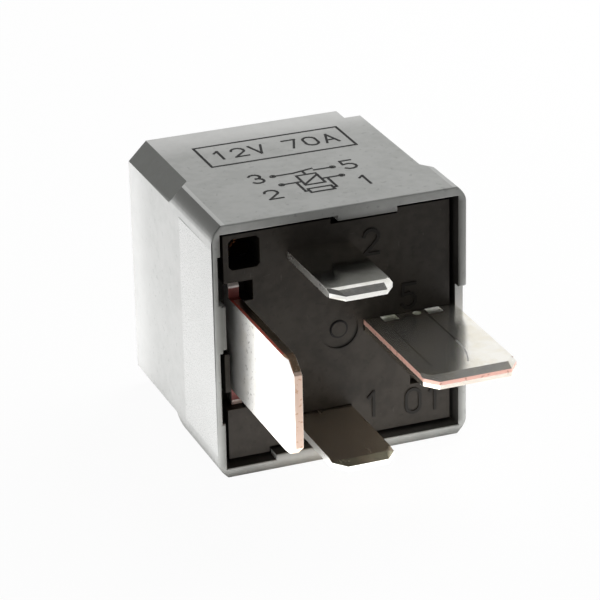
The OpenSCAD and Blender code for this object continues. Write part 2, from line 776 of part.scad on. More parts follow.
// Common terminal: blade on edge, shoulders in the base, strip on the yoke
module terminal_3() {
    tall = load_blade_width / 2 + shoulder_reach;
    cut = shoulder_reach / 3;
    strip_half = common_strip_width / 2;
    top = common_strip_top;
    color([0.8, 0.76, 0.7])
        place()
            translate([common_x, 0, 0])
                difference() {
                    rotate([0, 90, 0])
                        union() {
                            blade(load_blade_width, load_blade_thick, load_blade_length);
                            upright(load_blade_thick / 2)
                                polygon([
                                    [-tall + cut, shoulder_y], [tall - cut, shoulder_y],
                                    [tall, shoulder_y + cut], [tall, shoulder_y + shoulder_length],
                                    [strip_half, shoulder_y + shoulder_length], [strip_half, top],
                                    [-strip_half, top], [-strip_half, shoulder_y + shoulder_length],
                                    [-tall, shoulder_y + shoulder_length], [-tall, shoulder_y + cut]
                                ]);
                        }
                    for (side = [-1, 1])
                        translate([0, terminal_rivet_y, side * terminal_rivet_z])
                            rotate([0, 90, 0])
                                cylinder(h = 2 * load_blade_thick, r = rivet_radius + fit, center = true);
                }
}

// Load terminal: blade flat, strip rising behind the base and bent under the contact
module terminal_5() {
    r = load_strip_bend + load_blade_thick / 2;
    pad_mid = pad_top - load_blade_thick / 2;
    path = concat(
        [[0, shoulder_y + shoulder_length - fit]],
        arc([r, pad_mid - r], r, 180, 90, 6),
        [[load_pad_reach, pad_mid]]
    );
    color([0.8, 0.76, 0.7])
        place()
            difference() {
                union() {
                    translate([load_x, 0, 0])
                        blade(load_blade_width, load_blade_thick, load_blade_length);
                    box([load_x - load_blade_width / 2 - shoulder_reach, shoulder_y, -load_blade_thick / 2],
                        [load_strip_x + load_strip_width / 2, shoulder_y + shoulder_length, load_blade_thick / 2]);
                    translate([load_strip_x - load_strip_width / 2, 0, 0])
                        rotate([0, 90, 0])
                            mirror([1, 0, 0])
                                linear_extrude(height = load_strip_width)
                                    polygon(strip(path, load_blade_thick));
                }
                post(contact_x, contact_z, contact_shank_radius + fit, pad_top - 2 * load_blade_thick, pad_top + over);
                load_marks();
            }
}

// Press marks on the load blade where it leaves the base
module load_marks() {
    y = base_recess - press_width / 2;
    floor = load_blade_thick / 2 - press_depth;
    for (side = [-1, 1])
        translate([load_x + side * press_spacing / 2, y, floor])
            translate([-press_length / 2, -press_width / 2, 0])
                cube([press_length, press_width, load_blade_thick]);
    translate([load_x + 1.25 * dimple_radius, y, floor])
        cylinder(h = load_blade_thick, r = dimple_radius);
}

module yoke() {
    r = yoke_bend + yoke_thickness / 2;
    x = common_face + yoke_thickness / 2;
    y = base_top + yoke_thickness / 2;
    path = concat(
        [[x, yoke_top]],
        arc([x + r, y + r], r, 180, 270, 6),
        [[core_x + yoke_foot, y]]
    );
    color([0.62, 0.62, 0.64])
        place()
            difference() {
                upright(yoke_width / 2)
                    polygon(strip(path, yoke_thickness));
                post(core_x, 0, (core_radius - core_step) + fit, base_top - over, yoke_seat + over);
                for (side = [-1, 1]) {
                    translate([common_face, spring_rivet_y, side * spring_rivet_z])
                        rotate([0, 90, 0])
                            cylinder(h = 3 * yoke_thickness, r = rivet_radius + fit, center = true);
                    translate([common_face, terminal_rivet_y, side * terminal_rivet_z])
                        rotate([0, 90, 0])
                            cylinder(h = 3 * yoke_thickness, r = rivet_radius + fit, center = true);
                }
            }
}

module core() {
    color([0.66, 0.66, 0.68])
        place() {
            post(core_x, 0, (core_radius - core_step), base_top + fit, yoke_seat + fit);
            post(core_x, 0, core_radius, yoke_seat, core_face - pole_thickness + fit);
            post(core_x, 0, pole_radius, core_face - pole_thickness, core_face);
        }
}

module bobbin() {
    color([0.86, 0.84, 0.76])
        place()
            difference() {
                union() {
                    for (y = [flange_low, flange_high])
                        translate([core_x, 0, 0])
                            slab(flange_right - flange_left, 2 * flange_half, y, y + flange_thickness);
                    post(core_x, 0, tube_radius, flange_low, flange_high + flange_thickness);
                    for (up = [-1, 1])
                        stop_hook(up);
                }
                post(core_x, 0, core_radius + fit, flange_low - over, core_face);
            }
}

// Post with a hook over one edge of the armature
module stop_hook(up) {
    x = armature_right - stop_width;
    outer = flange_half;
    mirror([0, 0, up < 0 ? 1 : 0]) {
        box([x, flange_high, outer - stop_post], [x + stop_width, stop_y + stop_nose, outer]);
        box([x, stop_y, armature_half - stop_reach], [x + stop_width, stop_y + stop_nose, outer]);
    }
}

module coil_winding() {
    color([0.72, 0.36, 0.16])
        place()
            difference() {
                post(core_x, 0, winding_radius, winding_low, winding_high);
                post(core_x, 0, tube_radius + fit, winding_low - over, winding_high + over);
            }
}

module coil_tape() {
    low = winding_low + tape_margin_low;
    high = winding_high - tape_margin_high;
    color([0.85, 0.7, 0.25])
        place()
            difference() {
                post(core_x, 0, winding_radius + tape_thickness, low, high);
                post(core_x, 0, winding_radius, low - over, high + over);
            }
}

// Wire from the winding to a coil post, with its turns around the post
module coil_lead(up) {
    from_x = core_x - wire_offset;
    start_r = winding_radius + coil_wire_radius + 0.5 * fit;
    from_z = sqrt(pow(start_r, 2) - pow(core_x - from_x, 2));
    to_z = coil_blade_z - turn_radius;
    run = [coil_post_x - from_x, to_z - from_z];
    place()
        mirror([0, 0, up < 0 ? 1 : 0]) {
            for (i = [0:post_turns - 1])
                translate([coil_post_x, turn_y + i * turn_pitch, coil_blade_z])
                    rotate([90, 0, 0])
                        rotate_extrude()
                            translate([turn_radius, 0])
                                circle(r = coil_wire_radius, $fn = 24);
            translate([from_x, turn_y, from_z])
                rotate([0, atan2(run[0], run[1]), 0])
                    cylinder(h = norm(run), r = coil_wire_radius, $fn = 24);
        }
}

module coil_lead_1() {
    color([0.72, 0.36, 0.16])
        coil_lead(-1);
}

module coil_lead_2() {
    color([0.72, 0.36, 0.16])
        coil_lead(1);
}

// Turns its children from the pulled-in place to the open place
module opened() {
    translate([pivot[0], pivot[1], 0])
        rotate([0, 0, open_angle])
            translate([-pivot[0], -pivot[1], 0])
                children();
}

module armature() {
    color([0.66, 0.66, 0.68])
        place()
            opened()
                difference() {
                    box([armature_left, pivot[1], -armature_half], [armature_right, armature_top, armature_half]);
                    for (up = [-1, 1])
                        post(armature_rivet_x, up * armature_rivet_z, rivet_radius + fit,
                            pivot[1] - over, armature_top + over);
                }
}

module contact_spring() {
    foot = [leg_x, leg_top];
    away = foot - fold_open;
    tangent = atan2(away[1], away[0]) - acos(fold_radius / norm(away)) + 360;
    path = concat(
        [turned([spring_end, armature_top + spring_thickness / 2])],
        arc(fold_open, fold_radius, 90 + open_angle, tangent, 14),
        [foot, [leg_x, leg_bottom]]
    );
    color([0.8, 0.6, 0.3])
        place()
            difference() {
                upright(spring_half)
                    polygon(strip(path, spring_thickness));
                // narrow end that carries the contact
                box([armature_right + spring_margin, leg_top, -spring_half - over],
                    [half_w, cover_depth, contact_z - contact_radius - spring_margin]);
                opened() {
                    post(contact_x, contact_z, contact_shank_radius + fit, armature_top - over, armature_top + over);
                    for (up = [-1, 1])
                        post(armature_rivet_x, up * armature_rivet_z, rivet_radius + fit,
                            armature_top - over, armature_top + over);
                }
                for (up = [-1, 1])
                    translate([leg_x, spring_rivet_y, up * spring_rivet_z])
                        rotate([0, 90, 0])
                            cylinder(h = 2, r = rivet_radius + fit, center = true);
            }
}

module armature_rivets() {
    seat = armature_top + spring_thickness;
    color([0.7, 0.68, 0.62])
        place()
            opened()
                for (up = [-1, 1]) {
                    post(armature_rivet_x, up * armature_rivet_z, rivet_radius, pivot[1] + fit, seat + fit);
                    post(armature_rivet_x, up * armature_rivet_z, rivet_head_radius, seat, seat + rivet_head);
                }
}

// Rivet along X with its head on the -X side of the face at X
module side_rivet(x, y, z, shank) {
    translate([x, y, z])
        rotate([0, 90, 0]) {
            translate([0, 0, -rivet_head])
                cylinder(h = rivet_head, r = rivet_head_radius);
            cylinder(h = shank, r = rivet_radius);
        }
}

module spring_rivets() {
    color([0.7, 0.68, 0.62])
        place()
            for (up = [-1, 1])
                side_rivet(common_face - spring_thickness, spring_rivet_y, up * spring_rivet_z,
                    spring_thickness + yoke_thickness - fit);
}

module terminal_rivets() {
    color([0.7, 0.68, 0.62])
        place()
            for (up = [-1, 1])
                side_rivet(common_face - load_blade_thick, terminal_rivet_y, up * terminal_rivet_z,
                    load_blade_thick + yoke_thickness - fit);
}

module moving_contact() {
    seat = armature_top + spring_thickness;
    color([0.82, 0.82, 0.84])
        place()
            opened() {
                post(contact_x, contact_z, contact_radius, moving_face, armature_top);
                post(contact_x, contact_z, contact_shank_radius, armature_top - fit, seat + fit);
                post(contact_x, contact_z, tail_radius, seat, seat + rivet_head);
            }
}

module fixed_contact() {
    under = pad_top - load_blade_thick;
    color([0.82, 0.82, 0.84])
        place() {
            post(contact_x, contact_z, contact_radius, pad_top, fixed_face);
            post(contact_x, contact_z, contact_shank_radius, under - fit, pad_top + fit);
            post(contact_x, contact_z, tail_radius, under - rivet_head, under);
        }
}

module resistor_body() {
    half = resistor_length / 2;
    inner = half - resistor_cap;
    waist = resistor_radius - resistor_waist;
    color([0.35, 0.5, 0.62])
        place()
            translate([resistor_x, resistor_y, resistor_z])
                rotate([0, 90, 0])
                    rotate_extrude()
                        polygon([
                            [0, -half], [waist, -half], [resistor_radius, -half + resistor_waist],
                            [resistor_radius, -inner], [waist, -inner + resistor_waist],
                            [waist, inner - resistor_waist], [resistor_radius, inner],
                            [resistor_radius, half - resistor_waist], [waist, half], [0, half]
                        ]);
}

// Straight piece of lead between two points along one axis, with round ends
module lead_run(from, to) {
    way = to - from;
    translate(from)
        rotate([0, way[0] > 0 ? 90 : way[0] < 0 ? -90 : way[2] < 0 ? 180 : 0, 0])
            cylinder(h = norm(way), r = resistor_wire_radius, $fn = 32);
    translate(to)
        sphere(r = resistor_wire_radius, $fn = 32);
}

module resistor_leads() {
    near = [resistor_x - resistor_length / 2, resistor_y, resistor_z];
    far = [resistor_x + resistor_length / 2, resistor_y, resistor_z];
    end_x = coil_post_x - coil_post_width / 2;
    color([0.75, 0.75, 0.74])
        place() {
            lead_run(near, [end_x, resistor_y, resistor_z]);
            lead_run(far, [cross_x, resistor_y, resistor_z]);
            lead_run([cross_x, resistor_y, resistor_z], [cross_x, resistor_y, -resistor_z]);
            lead_run([cross_x, resistor_y, -resistor_z], [end_x, resistor_y, -resistor_z]);
        }
}

module ring_mark(r, w) {
    difference() {
        circle(r = r);
        circle(r = r - w);
    }
}

// Symbol of the contact, the coil and the resistor beside it, drawn in X and Y
// on a grid 64 units wide, with the contact line at 0
module circuit_symbol() {
    u = symbol_length / 64;
    w = print_line;
    translate([0, symbol_start]) {
        pen(u * [[-31, 0], [-10, 0], [11, 5]], w);
        pen(u * [[12, 0], [31, 0]], w);
        for (y = [0, -24])
            for (x = [-31, 31])
                translate(u * [x, y])
                    ring_mark(3.4 * u, w / 2);
        pen(u * [[0, 2], [0, -8]], w);
        pen(u * [[-10, -8], [10, -8], [10, -34], [-10, -34], [-10, -8]], w);
        pen(u * [[-10, -32], [10, -12]], w);
        pen(u * [[-31, -24], [-10, -24]], w);
        pen(u * [[10, -24], [31, -24]], w);
        pen(u * [[-16, -24], [-16, -49], [-12, -49]], w);
        pen(u * [[16, -24], [16, -49], [12, -49]], w);
        pen(u * [[-12, -44], [12, -44], [12, -54], [-12, -54], [-12, -44]], w);
    }
}

module circuit_print() {
    w = print_line;
    right = frame_length / 2;
    top = frame_start + frame_width;
    middle = frame_start + frame_width / 2;
    side = 0.75 * symbol_length;
    low = symbol_start - 2 * print_height;
    color([0.12, 0.12, 0.12])
        place()
            translate([0, 0, half_h])
                linear_extrude(height = ink_thickness) {
                    circuit_symbol();
                    label("3", [-side, symbol_start], print_height, w);
                    label("5", [side, symbol_start], print_height, w);
                    label("2", [-side, low], print_height, w);
                    label("1", [side, low], print_height, w);
                    pen([[-right, frame_start], [right, frame_start], [right, top], [-right, top],
                        [-right, frame_start]], w);
                    label("12V", [-right / 2, middle], print_height, w);
                    label("70A", [right / 2, middle], print_height, w);
                }
}

cover();
base();
terminal_1();
terminal_2();
terminal_3();
terminal_5();
yoke();
core();
bobbin();
coil_winding();
coil_tape();
coil_lead_1();
coil_lead_2();
armature();
contact_spring();
armature_rivets();
spring_rivets();
terminal_rivets();
moving_contact();
fixed_contact();
resistor_body();
resistor_leads();
circuit_print();
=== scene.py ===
# %% [markdown]
# # An automotive relay with four blades
# This lesson dresses a small plug-in relay. Its solid parts were built before, in millimetre-exact
# CAD, and are loaded here as a fixed frame. We add the camera, the light, the rounded edges and the
# finishes: moulded plastic, tinned copper with bare cut edges, ink, enamelled wire and plated steel.

# %% Load the solid parts
import math

import bmesh
import bpy
from mathutils import Matrix, Vector
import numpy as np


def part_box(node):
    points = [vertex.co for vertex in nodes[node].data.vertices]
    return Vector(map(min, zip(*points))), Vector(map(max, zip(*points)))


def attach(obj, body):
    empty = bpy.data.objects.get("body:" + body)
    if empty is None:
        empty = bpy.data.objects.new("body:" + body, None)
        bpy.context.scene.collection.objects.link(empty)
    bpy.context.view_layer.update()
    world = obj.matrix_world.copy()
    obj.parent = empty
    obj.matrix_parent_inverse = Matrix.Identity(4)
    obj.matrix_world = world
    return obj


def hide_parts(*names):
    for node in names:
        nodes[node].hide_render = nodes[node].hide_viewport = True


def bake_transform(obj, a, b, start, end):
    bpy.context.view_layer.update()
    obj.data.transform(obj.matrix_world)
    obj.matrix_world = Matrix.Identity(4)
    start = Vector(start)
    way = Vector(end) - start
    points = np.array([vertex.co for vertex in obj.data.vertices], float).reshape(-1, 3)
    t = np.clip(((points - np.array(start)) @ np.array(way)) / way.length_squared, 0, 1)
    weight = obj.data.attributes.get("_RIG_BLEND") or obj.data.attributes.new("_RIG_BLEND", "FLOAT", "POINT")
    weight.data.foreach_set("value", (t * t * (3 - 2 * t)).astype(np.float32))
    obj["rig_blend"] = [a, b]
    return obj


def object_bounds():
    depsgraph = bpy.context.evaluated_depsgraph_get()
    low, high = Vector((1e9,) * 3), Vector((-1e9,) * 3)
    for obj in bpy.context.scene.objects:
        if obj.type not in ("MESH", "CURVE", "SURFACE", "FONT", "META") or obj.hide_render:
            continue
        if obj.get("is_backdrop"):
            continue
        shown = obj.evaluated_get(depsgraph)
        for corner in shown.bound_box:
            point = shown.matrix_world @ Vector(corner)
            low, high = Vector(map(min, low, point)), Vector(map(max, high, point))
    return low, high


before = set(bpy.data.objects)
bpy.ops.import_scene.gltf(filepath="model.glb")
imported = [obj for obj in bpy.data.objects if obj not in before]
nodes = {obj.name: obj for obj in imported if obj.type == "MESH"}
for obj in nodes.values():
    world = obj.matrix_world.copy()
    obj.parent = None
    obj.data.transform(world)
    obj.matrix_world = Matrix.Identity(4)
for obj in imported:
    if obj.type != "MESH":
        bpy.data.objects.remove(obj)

solid_low, solid_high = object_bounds()
MM = 0.001
print("solid parts:", len(nodes), "size in mm:", [round(v / MM, 2) for v in solid_high - solid_low])

# %% [markdown]
# ## Camera
# A camera close to a small box makes its sides run together fast, so that it looks large. A long lens
# from nearly 30 cm away keeps the box shape calm. It looks at the rim of the cover from the front left
# and from above, and leans by about one degree. Its place is worked out from the rim, so it follows
# the relay if the relay changes.

# %% Camera
cover_low, cover_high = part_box("cover")
cover_middle = (cover_low + cover_high) / 2
rim = Vector((cover_middle.x, cover_low.y, cover_middle.z))

view_azimuth = math.radians(20.98)
view_elevation = math.radians(23.62)
view_roll = math.radians(-1.245)
view_distance = 294.2 * MM
sideways_shift = -4.11 * MM
upward_shift = 3.17 * MM
sensor_width = 36
lens_length = 184.2

look = Vector((
    math.sin(view_azimuth) * math.cos(view_elevation),
    math.cos(view_azimuth) * math.cos(view_elevation),
    -math.sin(view_elevation),
))
level = look.cross(Vector((0, 0, 1))).normalized()
above = level.cross(look)
right = level * math.cos(view_roll) + above * math.sin(view_roll)
up = above * math.cos(view_roll) - level * math.sin(view_roll)
camera_place = rim - look * view_distance + right * sideways_shift + up * upward_shift

bpy.ops.object.camera_add(location=camera_place)
camera = bpy.context.object
camera.rotation_euler = Matrix((right, up, -look)).transposed().to_euler()
camera.data.sensor_width = sensor_width
camera.data.lens = lens_length
camera.data.clip_start = 0.01
camera.data.clip_end = 10
bpy.context.scene.camera = camera
print("camera at", [round(v, 4) for v in camera.location])

# %% [markdown]
# ## Light and floor
# The relay stands on a light table inside a white tent. The table glows beside and in front of it,
# so the left side is bright, the face under the blades fades upwards and each blade throws a soft
# shadow upwards. One soft lamp from the right, high up, lights the top. The tent is white round
# the sides, which is what bright metal mirrors, and open overhead, so level metal also finds
# something dark to mirror. Where the tent only lights the parts, it is dim: a bright tent would
# light all sides alike and wash the colours out.

# %% World
scene = bpy.context.scene
scene.view_settings.view_transform = "Standard"
world = bpy.data.worlds.new("white_tent")
scene.world = world
world.use_nodes = True


def link_value(tree, socket, value):
    """Put a number or a colour into a socket, or link another socket to it."""
    if isinstance(value, tuple):
        socket.default_value = (*value, 1)
    elif isinstance(value, (int, float)):
        socket.default_value = value
    else:
        tree.links.new(value, socket)


def calc(tree, operation, a, b=0.0):
    """One sum, product or the like of two values, each a number or a socket."""
    node = tree.nodes.new("ShaderNodeMath")
    node.operation = operation
    link_value(tree, node.inputs[0], a)
    link_value(tree, node.inputs[1], b)
    return node.outputs[0]


def ramp(tree, value, low, high, to_low=0.0, to_high=1.0):
    """Value spread smoothly from low..high to to_low..to_high, and held there at both ends."""
    spread = tree.nodes.new("ShaderNodeMapRange")
    spread.interpolation_type = "SMOOTHSTEP"
    limits = {"From Min": low, "From Max": high, "To Min": to_low, "To Max": to_high}
    for label, number in limits.items():
        link_value(tree, spread.inputs[label], number)
    tree.links.new(value, spread.inputs["Value"])
    return spread.outputs[0]


def split(tree, vector):
    """X, Y and Z of a vector as three sockets."""
    node = tree.nodes.new("ShaderNodeSeparateXYZ")
    tree.links.new(vector, node.inputs[0])
    return node.outputs


ambient = 0.10
overhead = 0.08
tent_top, open_sky = 0.50, 0.58
tree = world.node_tree
background = tree.nodes["Background"]
background.inputs["Color"].default_value = (1, 1, 1, 1)
path = tree.nodes.new("ShaderNodeLightPath")
direction = split(tree, tree.nodes.new("ShaderNodeTexCoord").outputs["Generated"])
mirrored = calc(tree, "MAXIMUM", path.outputs["Is Glossy Ray"], path.outputs["Is Transmission Ray"])
tent = ramp(tree, direction["Z"], tent_top, open_sky, 1.0, overhead)
strength = calc(tree, "MAXIMUM", ambient, calc(tree, "MULTIPLY", mirrored, tent))
strength = calc(tree, "MAXIMUM", strength, path.outputs["Is Camera Ray"])
tree.links.new(strength, background.inputs["Strength"])
print("world: white tent, at", ambient, "where it only lights the parts")

# %% Lamps
relay_middle = (solid_low + solid_high) / 2


def soft_lamp(name, place, size, brightness, aim):
    """Soft panel at a place, of size (width, height) in metres and as bright as a lit white sheet
    when brightness is 1, with its light going along aim."""
    bpy.ops.object.light_add(type="AREA", location=place)
    lamp = bpy.context.object
    lamp.name = name
    lamp.data.shape = "RECTANGLE"
    lamp.data.size, lamp.data.size_y = size
    lamp.data.energy = math.pi * brightness * size[0] * size[1]
    lamp.rotation_euler = aim.to_track_quat("-Z", "Y").to_euler()
    lamp.visible_camera = False
    return lamp


def table_panel(name, x_range, y_range, brightness):
    """Glowing part of the table between two x and two y values in millimetres."""
    middle = Vector((sum(x_range) / 2 * MM, sum(y_range) / 2 * MM, solid_low.z + 0.1 * MM))
    size = ((x_range[1] - x_range[0]) * MM, (y_range[1] - y_range[0]) * MM)
    return soft_lamp(name, middle, size, brightness, Vector((0, 0, 1)))


table_panel("table_left", (-150, -14), (-16, 140), 1.6)
table_panel("table_front", (-36, 46), (-33, -6), 2.1)
toward_top_lamp = Vector((0.55, 0.35, 0.75)).normalized()
top_lamp_place = relay_middle + toward_top_lamp * 260 * MM
top_lamp_size = (200 * MM, 200 * MM)
top_lamp = soft_lamp("lamp_high_right", top_lamp_place, top_lamp_size, 5.5, -toward_top_lamp)
top_lamp.visible_glossy = False

# %% Floor
floor_drop = 0.02 * MM
glow_share = 0.96
bpy.ops.mesh.primitive_plane_add(size=6, location=(0, 0, solid_low.z - floor_drop))
floor = bpy.context.object
floor.name = "floor"
floor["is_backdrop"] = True
paper = bpy.data.materials.new("opal_glass")
paper.use_nodes = True
tree = paper.node_tree
output = tree.nodes["Material Output"]
surface = tree.nodes["Principled BSDF"]
surface.inputs["Base Color"].default_value = (0.9, 0.9, 0.9, 1)
surface.inputs["Roughness"].default_value = 0.9
glow = tree.nodes.new("ShaderNodeEmission")
glow.inputs["Strength"].default_value = 1.0
path = tree.nodes.new("ShaderNodeLightPath")
seen = calc(tree, "MAXIMUM", path.outputs["Is Camera Ray"], path.outputs["Is Glossy Ray"])
seen = calc(tree, "MAXIMUM", seen, path.outputs["Is Transmission Ray"])
mix = tree.nodes.new("ShaderNodeMixShader")
tree.links.new(calc(tree, "MULTIPLY", seen, glow_share), mix.inputs["Fac"])
tree.links.new(surface.outputs["BSDF"], mix.inputs[1])
tree.links.new(glow.outputs["Emission"], mix.inputs[2])
tree.links.new(mix.outputs["Shader"], output.inputs["Surface"])
floor.data.materials.append(paper)
print("floor under the relay at", round(floor.location.z, 5))

# %% [markdown]
# ## Effects that several finishes share
# Moulding grain, scuffs, rolling streaks and the like turn up on more than one material. They could
# be drawn anew in each, but then a change would have to be made many times. So each is built once as
# a node group that puts out only masks and heights, and every material feeds it with its own sizes.

# %% Node group helpers
def new_group(name, inputs, outputs):
    """Empty shader group with named number inputs, given as (name, default), and named outputs."""
    group = bpy.data.node_groups.new(name, "ShaderNodeTree")
    for label, value in inputs:
        socket = group.interface.new_socket(label, in_out="INPUT", socket_type="NodeSocketFloat")
        socket.default_value = value
    for label in outputs:
        group.interface.new_socket(label, in_out="OUTPUT", socket_type="NodeSocketFloat")
    return group, group.nodes.new("NodeGroupInput"), group.nodes.new("NodeGroupOutput")


def put_out(group, group_output, **values):
    """Link each value to the group's output of that name, and print the names."""
    for label, value in values.items():
        group.links.new(value, group_output.inputs[label])
    print("group", group.name, "puts out", list(values))


def held(tree, name):
    """Sockets that read what each point of a mesh holds under this name."""
    node = tree.nodes.new("ShaderNodeAttribute")
    node.attribute_name = name
    return node.outputs


def strip_vector(tree):
    """Place across, along and through a blade, which each of its points holds."""
    return held(tree, "strip")["Vector"]


def noise(tree, scale, detail=3.0, rough=0.5, where=None, stretch=None):
    """Noise in object space, or where a vector says, with scale features per metre."""
    if where is None:
        where = tree.nodes.new("ShaderNodeTexCoord").outputs["Object"]
    if stretch:
        mapping = tree.nodes.new("ShaderNodeMapping")
        mapping.inputs["Scale"].default_value = stretch
        tree.links.new(where, mapping.inputs["Vector"])
        where = mapping.outputs["Vector"]
    texture = tree.nodes.new("ShaderNodeTexNoise")
    texture.inputs["Detail"].default_value = detail
    texture.inputs["Roughness"].default_value = rough
    tree.links.new(where, texture.inputs["Vector"])
    link_value(tree, texture.inputs["Scale"], scale)
    return texture.outputs["Fac"]


# %% Moulding grain
grain_group, grain_in, grain_out = new_group(
    "moulding_grain", [("Grain per metre", 9000), ("Cloud per metre", 260)], ["Height", "Cloud", "Pits"])
fine = noise(grain_group, grain_in.outputs["Grain per metre"], 4, 0.6)
slow = noise(grain_group, grain_in.outputs["Cloud per metre"], 3, 0.55)
blotch = noise(grain_group, 1100, 2, 0.5)
slow_part = calc(grain_group, "MULTIPLY", slow, 0.6)
blotch_part = calc(grain_group, "MULTIPLY", blotch, 0.4)
cloud = calc(grain_group, "ADD", slow_part, blotch_part)
pits = ramp(grain_group, noise(grain_group, 1900, 1, 0.4), 0.66, 0.74)
put_out(grain_group, grain_out, Height=fine, Cloud=cloud, Pits=pits)

# %% Scuffs and dust
scuff_group, scuff_in, scuff_out = new_group("scuffs", [("Amount", 0.5)], ["Scuff", "Dust"])
upright_lines = ramp(scuff_group, noise(scuff_group, 900, 2, 0.4, stretch=(1.0, 1.0, 7.0)), 0.70, 0.76)
level_lines = ramp(scuff_group, noise(scuff_group, 700, 2, 0.4, stretch=(6.0, 1.0, 1.2)), 0.70, 0.76)
patch = ramp(scuff_group, noise(scuff_group, 160, 2), 0.45, 0.62)
scuff = calc(scuff_group, "MULTIPLY", calc(scuff_group, "MAXIMUM", upright_lines, level_lines), patch)
specks = ramp(scuff_group, noise(scuff_group, 2300, 1, 0.3), 0.73, 0.82)
amount = scuff_in.outputs["Amount"]
put_out(scuff_group, scuff_out, Scuff=calc(scuff_group, "MULTIPLY", scuff, amount),
        Dust=calc(scuff_group, "MULTIPLY", specks, amount))

# %% Plating
plating_group, plating_in, plating_out = new_group(
    "plating", [("Mottle per metre", 500), ("Grain per metre", 12000)], ["Mottle", "Grain", "Stain"])
mottle = noise(plating_group, plating_in.outputs["Mottle per metre"], 4, 0.6)
plating_grain = noise(plating_group, plating_in.outputs["Grain per metre"], 3)
stain = ramp(plating_group, noise(plating_group, 1300, 3, 0.6), 0.58, 0.70)
put_out(plating_group, plating_out, Mottle=ramp(plating_group, mottle, 0.35, 0.68), Grain=plating_grain,
        Stain=stain)

# %% Rolled strip
streaks_across = 5200
rolled_group, rolled_in, rolled_out = new_group(
    "rolled_strip", [("Streaks per metre", 160)], ["Cloud", "Streaks", "Waves"])
density = rolled_group.nodes.new("ShaderNodeCombineXYZ")
density.inputs["X"].default_value = streaks_across
density.inputs["Z"].default_value = streaks_across
rolled_group.links.new(rolled_in.outputs["Streaks per metre"], density.inputs["Y"])
stretched = rolled_group.nodes.new("ShaderNodeVectorMath")
stretched.operation = "MULTIPLY"
rolled_group.links.new(strip_vector(rolled_group), stretched.inputs[0])
rolled_group.links.new(density.outputs["Vector"], stretched.inputs[1])
streaks = noise(rolled_group, 1.0, 3, 0.6, where=stretched.outputs["Vector"])
cloudy = ramp(rolled_group, noise(rolled_group, 420, 4, 0.6, strip_vector(rolled_group)), 0.40, 0.68)
waves = noise(rolled_group, 330, 2, 0.4, strip_vector(rolled_group))
put_out(rolled_group, rolled_out, Cloud=cloudy, Streaks=streaks, Waves=waves)

# %% Cut edge
torn_softness = 0.08 * MM
cut_group, cut_in, cut_out = new_group(
    "cut_edge", [("Torn from", 0.0), ("Ragged", 0.0002)], ["Torn", "Nicks"])
swing = calc(cut_group, "SUBTRACT", noise(cut_group, 1500, 2, 0.5, strip_vector(cut_group)), 0.5)
swing = calc(cut_group, "MULTIPLY", swing, cut_in.outputs["Ragged"])
torn_at = calc(cut_group, "ADD", split(cut_group, strip_vector(cut_group))["Z"], swing)
torn_end = calc(cut_group, "ADD", cut_in.outputs["Torn from"], torn_softness)
nicks = ramp(cut_group, noise(cut_group, 2600, 2, 0.5, strip_vector(cut_group)), 0.60, 0.68)
put_out(cut_group, cut_out, Torn=ramp(cut_group, torn_at, cut_in.outputs["Torn from"], torn_end),
        Nicks=nicks)


# %% [markdown]
# ## Plastic
# The cover is a glass-filled grey plastic with a satin skin, the base a dark warm grey that shows
# its handling as short pale scuffs. One even colour would look like a drawing, because a moulded
# skin is never quite even. So both use the same recipe: a base colour with slow clouds in it, a fine
# grain in the bump and the roughness, and scuffs on top. A second finish can be painted over part of
# a material, through a mask that is worked out from the place on the piece.

# %% Plastic recipe
def place_group(tree, group, **values):
    """Put a shared group into a material, with its own numbers for the inputs it names."""
    node = tree.nodes.new("ShaderNodeGroup")
    node.node_tree = group
    for label, value in values.items():
        node.inputs[label.replace("_", " ")].default_value = value
    return node


def mixed(tree, factor, first, second):
    """Colour that goes from first to second with factor."""
    node = tree.nodes.new("ShaderNodeMix")
    node.data_type = "RGBA"
    tree.links.new(factor, node.inputs["Factor"])
    link_value(tree, node.inputs[6], first)
    link_value(tree, node.inputs[7], second)
    return node.outputs[2]


def bump(tree, height, strength, distance, under=None):
    """Normal of a surface raised by a height, over another normal where one is given."""
    node = tree.nodes.new("ShaderNodeBump")
    node.inputs["Strength"].default_value = strength
    node.inputs["Distance"].default_value = distance
    tree.links.new(height, node.inputs["Height"])
    if under:
        tree.links.new(under, node.inputs["Normal"])
    return node.outputs["Normal"]


def plastic(name, dark, light, gloss, grain=9000, scuffing=0.0, scuff_colour=(0.3, 0.29, 0.27),
            grain_bump=0.25, shine=0.5, pitting=0.0):
    """Moulded plastic: two close colours, a roughness, grain per metre, scuffs and small pits."""
    material = bpy.data.materials.new(name)
    material.use_nodes = True
    tree = material.node_tree
    surface = tree.nodes["Principled BSDF"]
    surface.inputs["Specular IOR Level"].default_value = shine
    skin = place_group(tree, grain_group, Grain_per_metre=grain)
    colour = mixed(tree, ramp(tree, skin.outputs["Cloud"], 0.36, 0.62), dark, light)
    rough = ramp(tree, skin.outputs["Height"], 0.25, 0.75, gloss - 0.05, gloss + 0.07)
    if pitting:
        pits = calc(tree, "MULTIPLY", skin.outputs["Pits"], pitting)
        colour = mixed(tree, pits, colour, tuple(0.5 * value for value in dark))
    if scuffing:
        wear = place_group(tree, scuff_group, Amount=scuffing)
        marks = calc(tree, "MAXIMUM", wear.outputs["Scuff"], wear.outputs["Dust"])
        colour = mixed(tree, marks, colour, scuff_colour)
        rough = calc(tree, "ADD", rough, calc(tree, "MULTIPLY", marks, 0.2))
    tree.links.new(colour, surface.inputs["Base Color"])
    tree.links.new(rough, surface.inputs["Roughness"])
    tree.links.new(bump(tree, skin.outputs["Height"], grain_bump, 0.02 * MM), surface.inputs["Normal"])
    return material


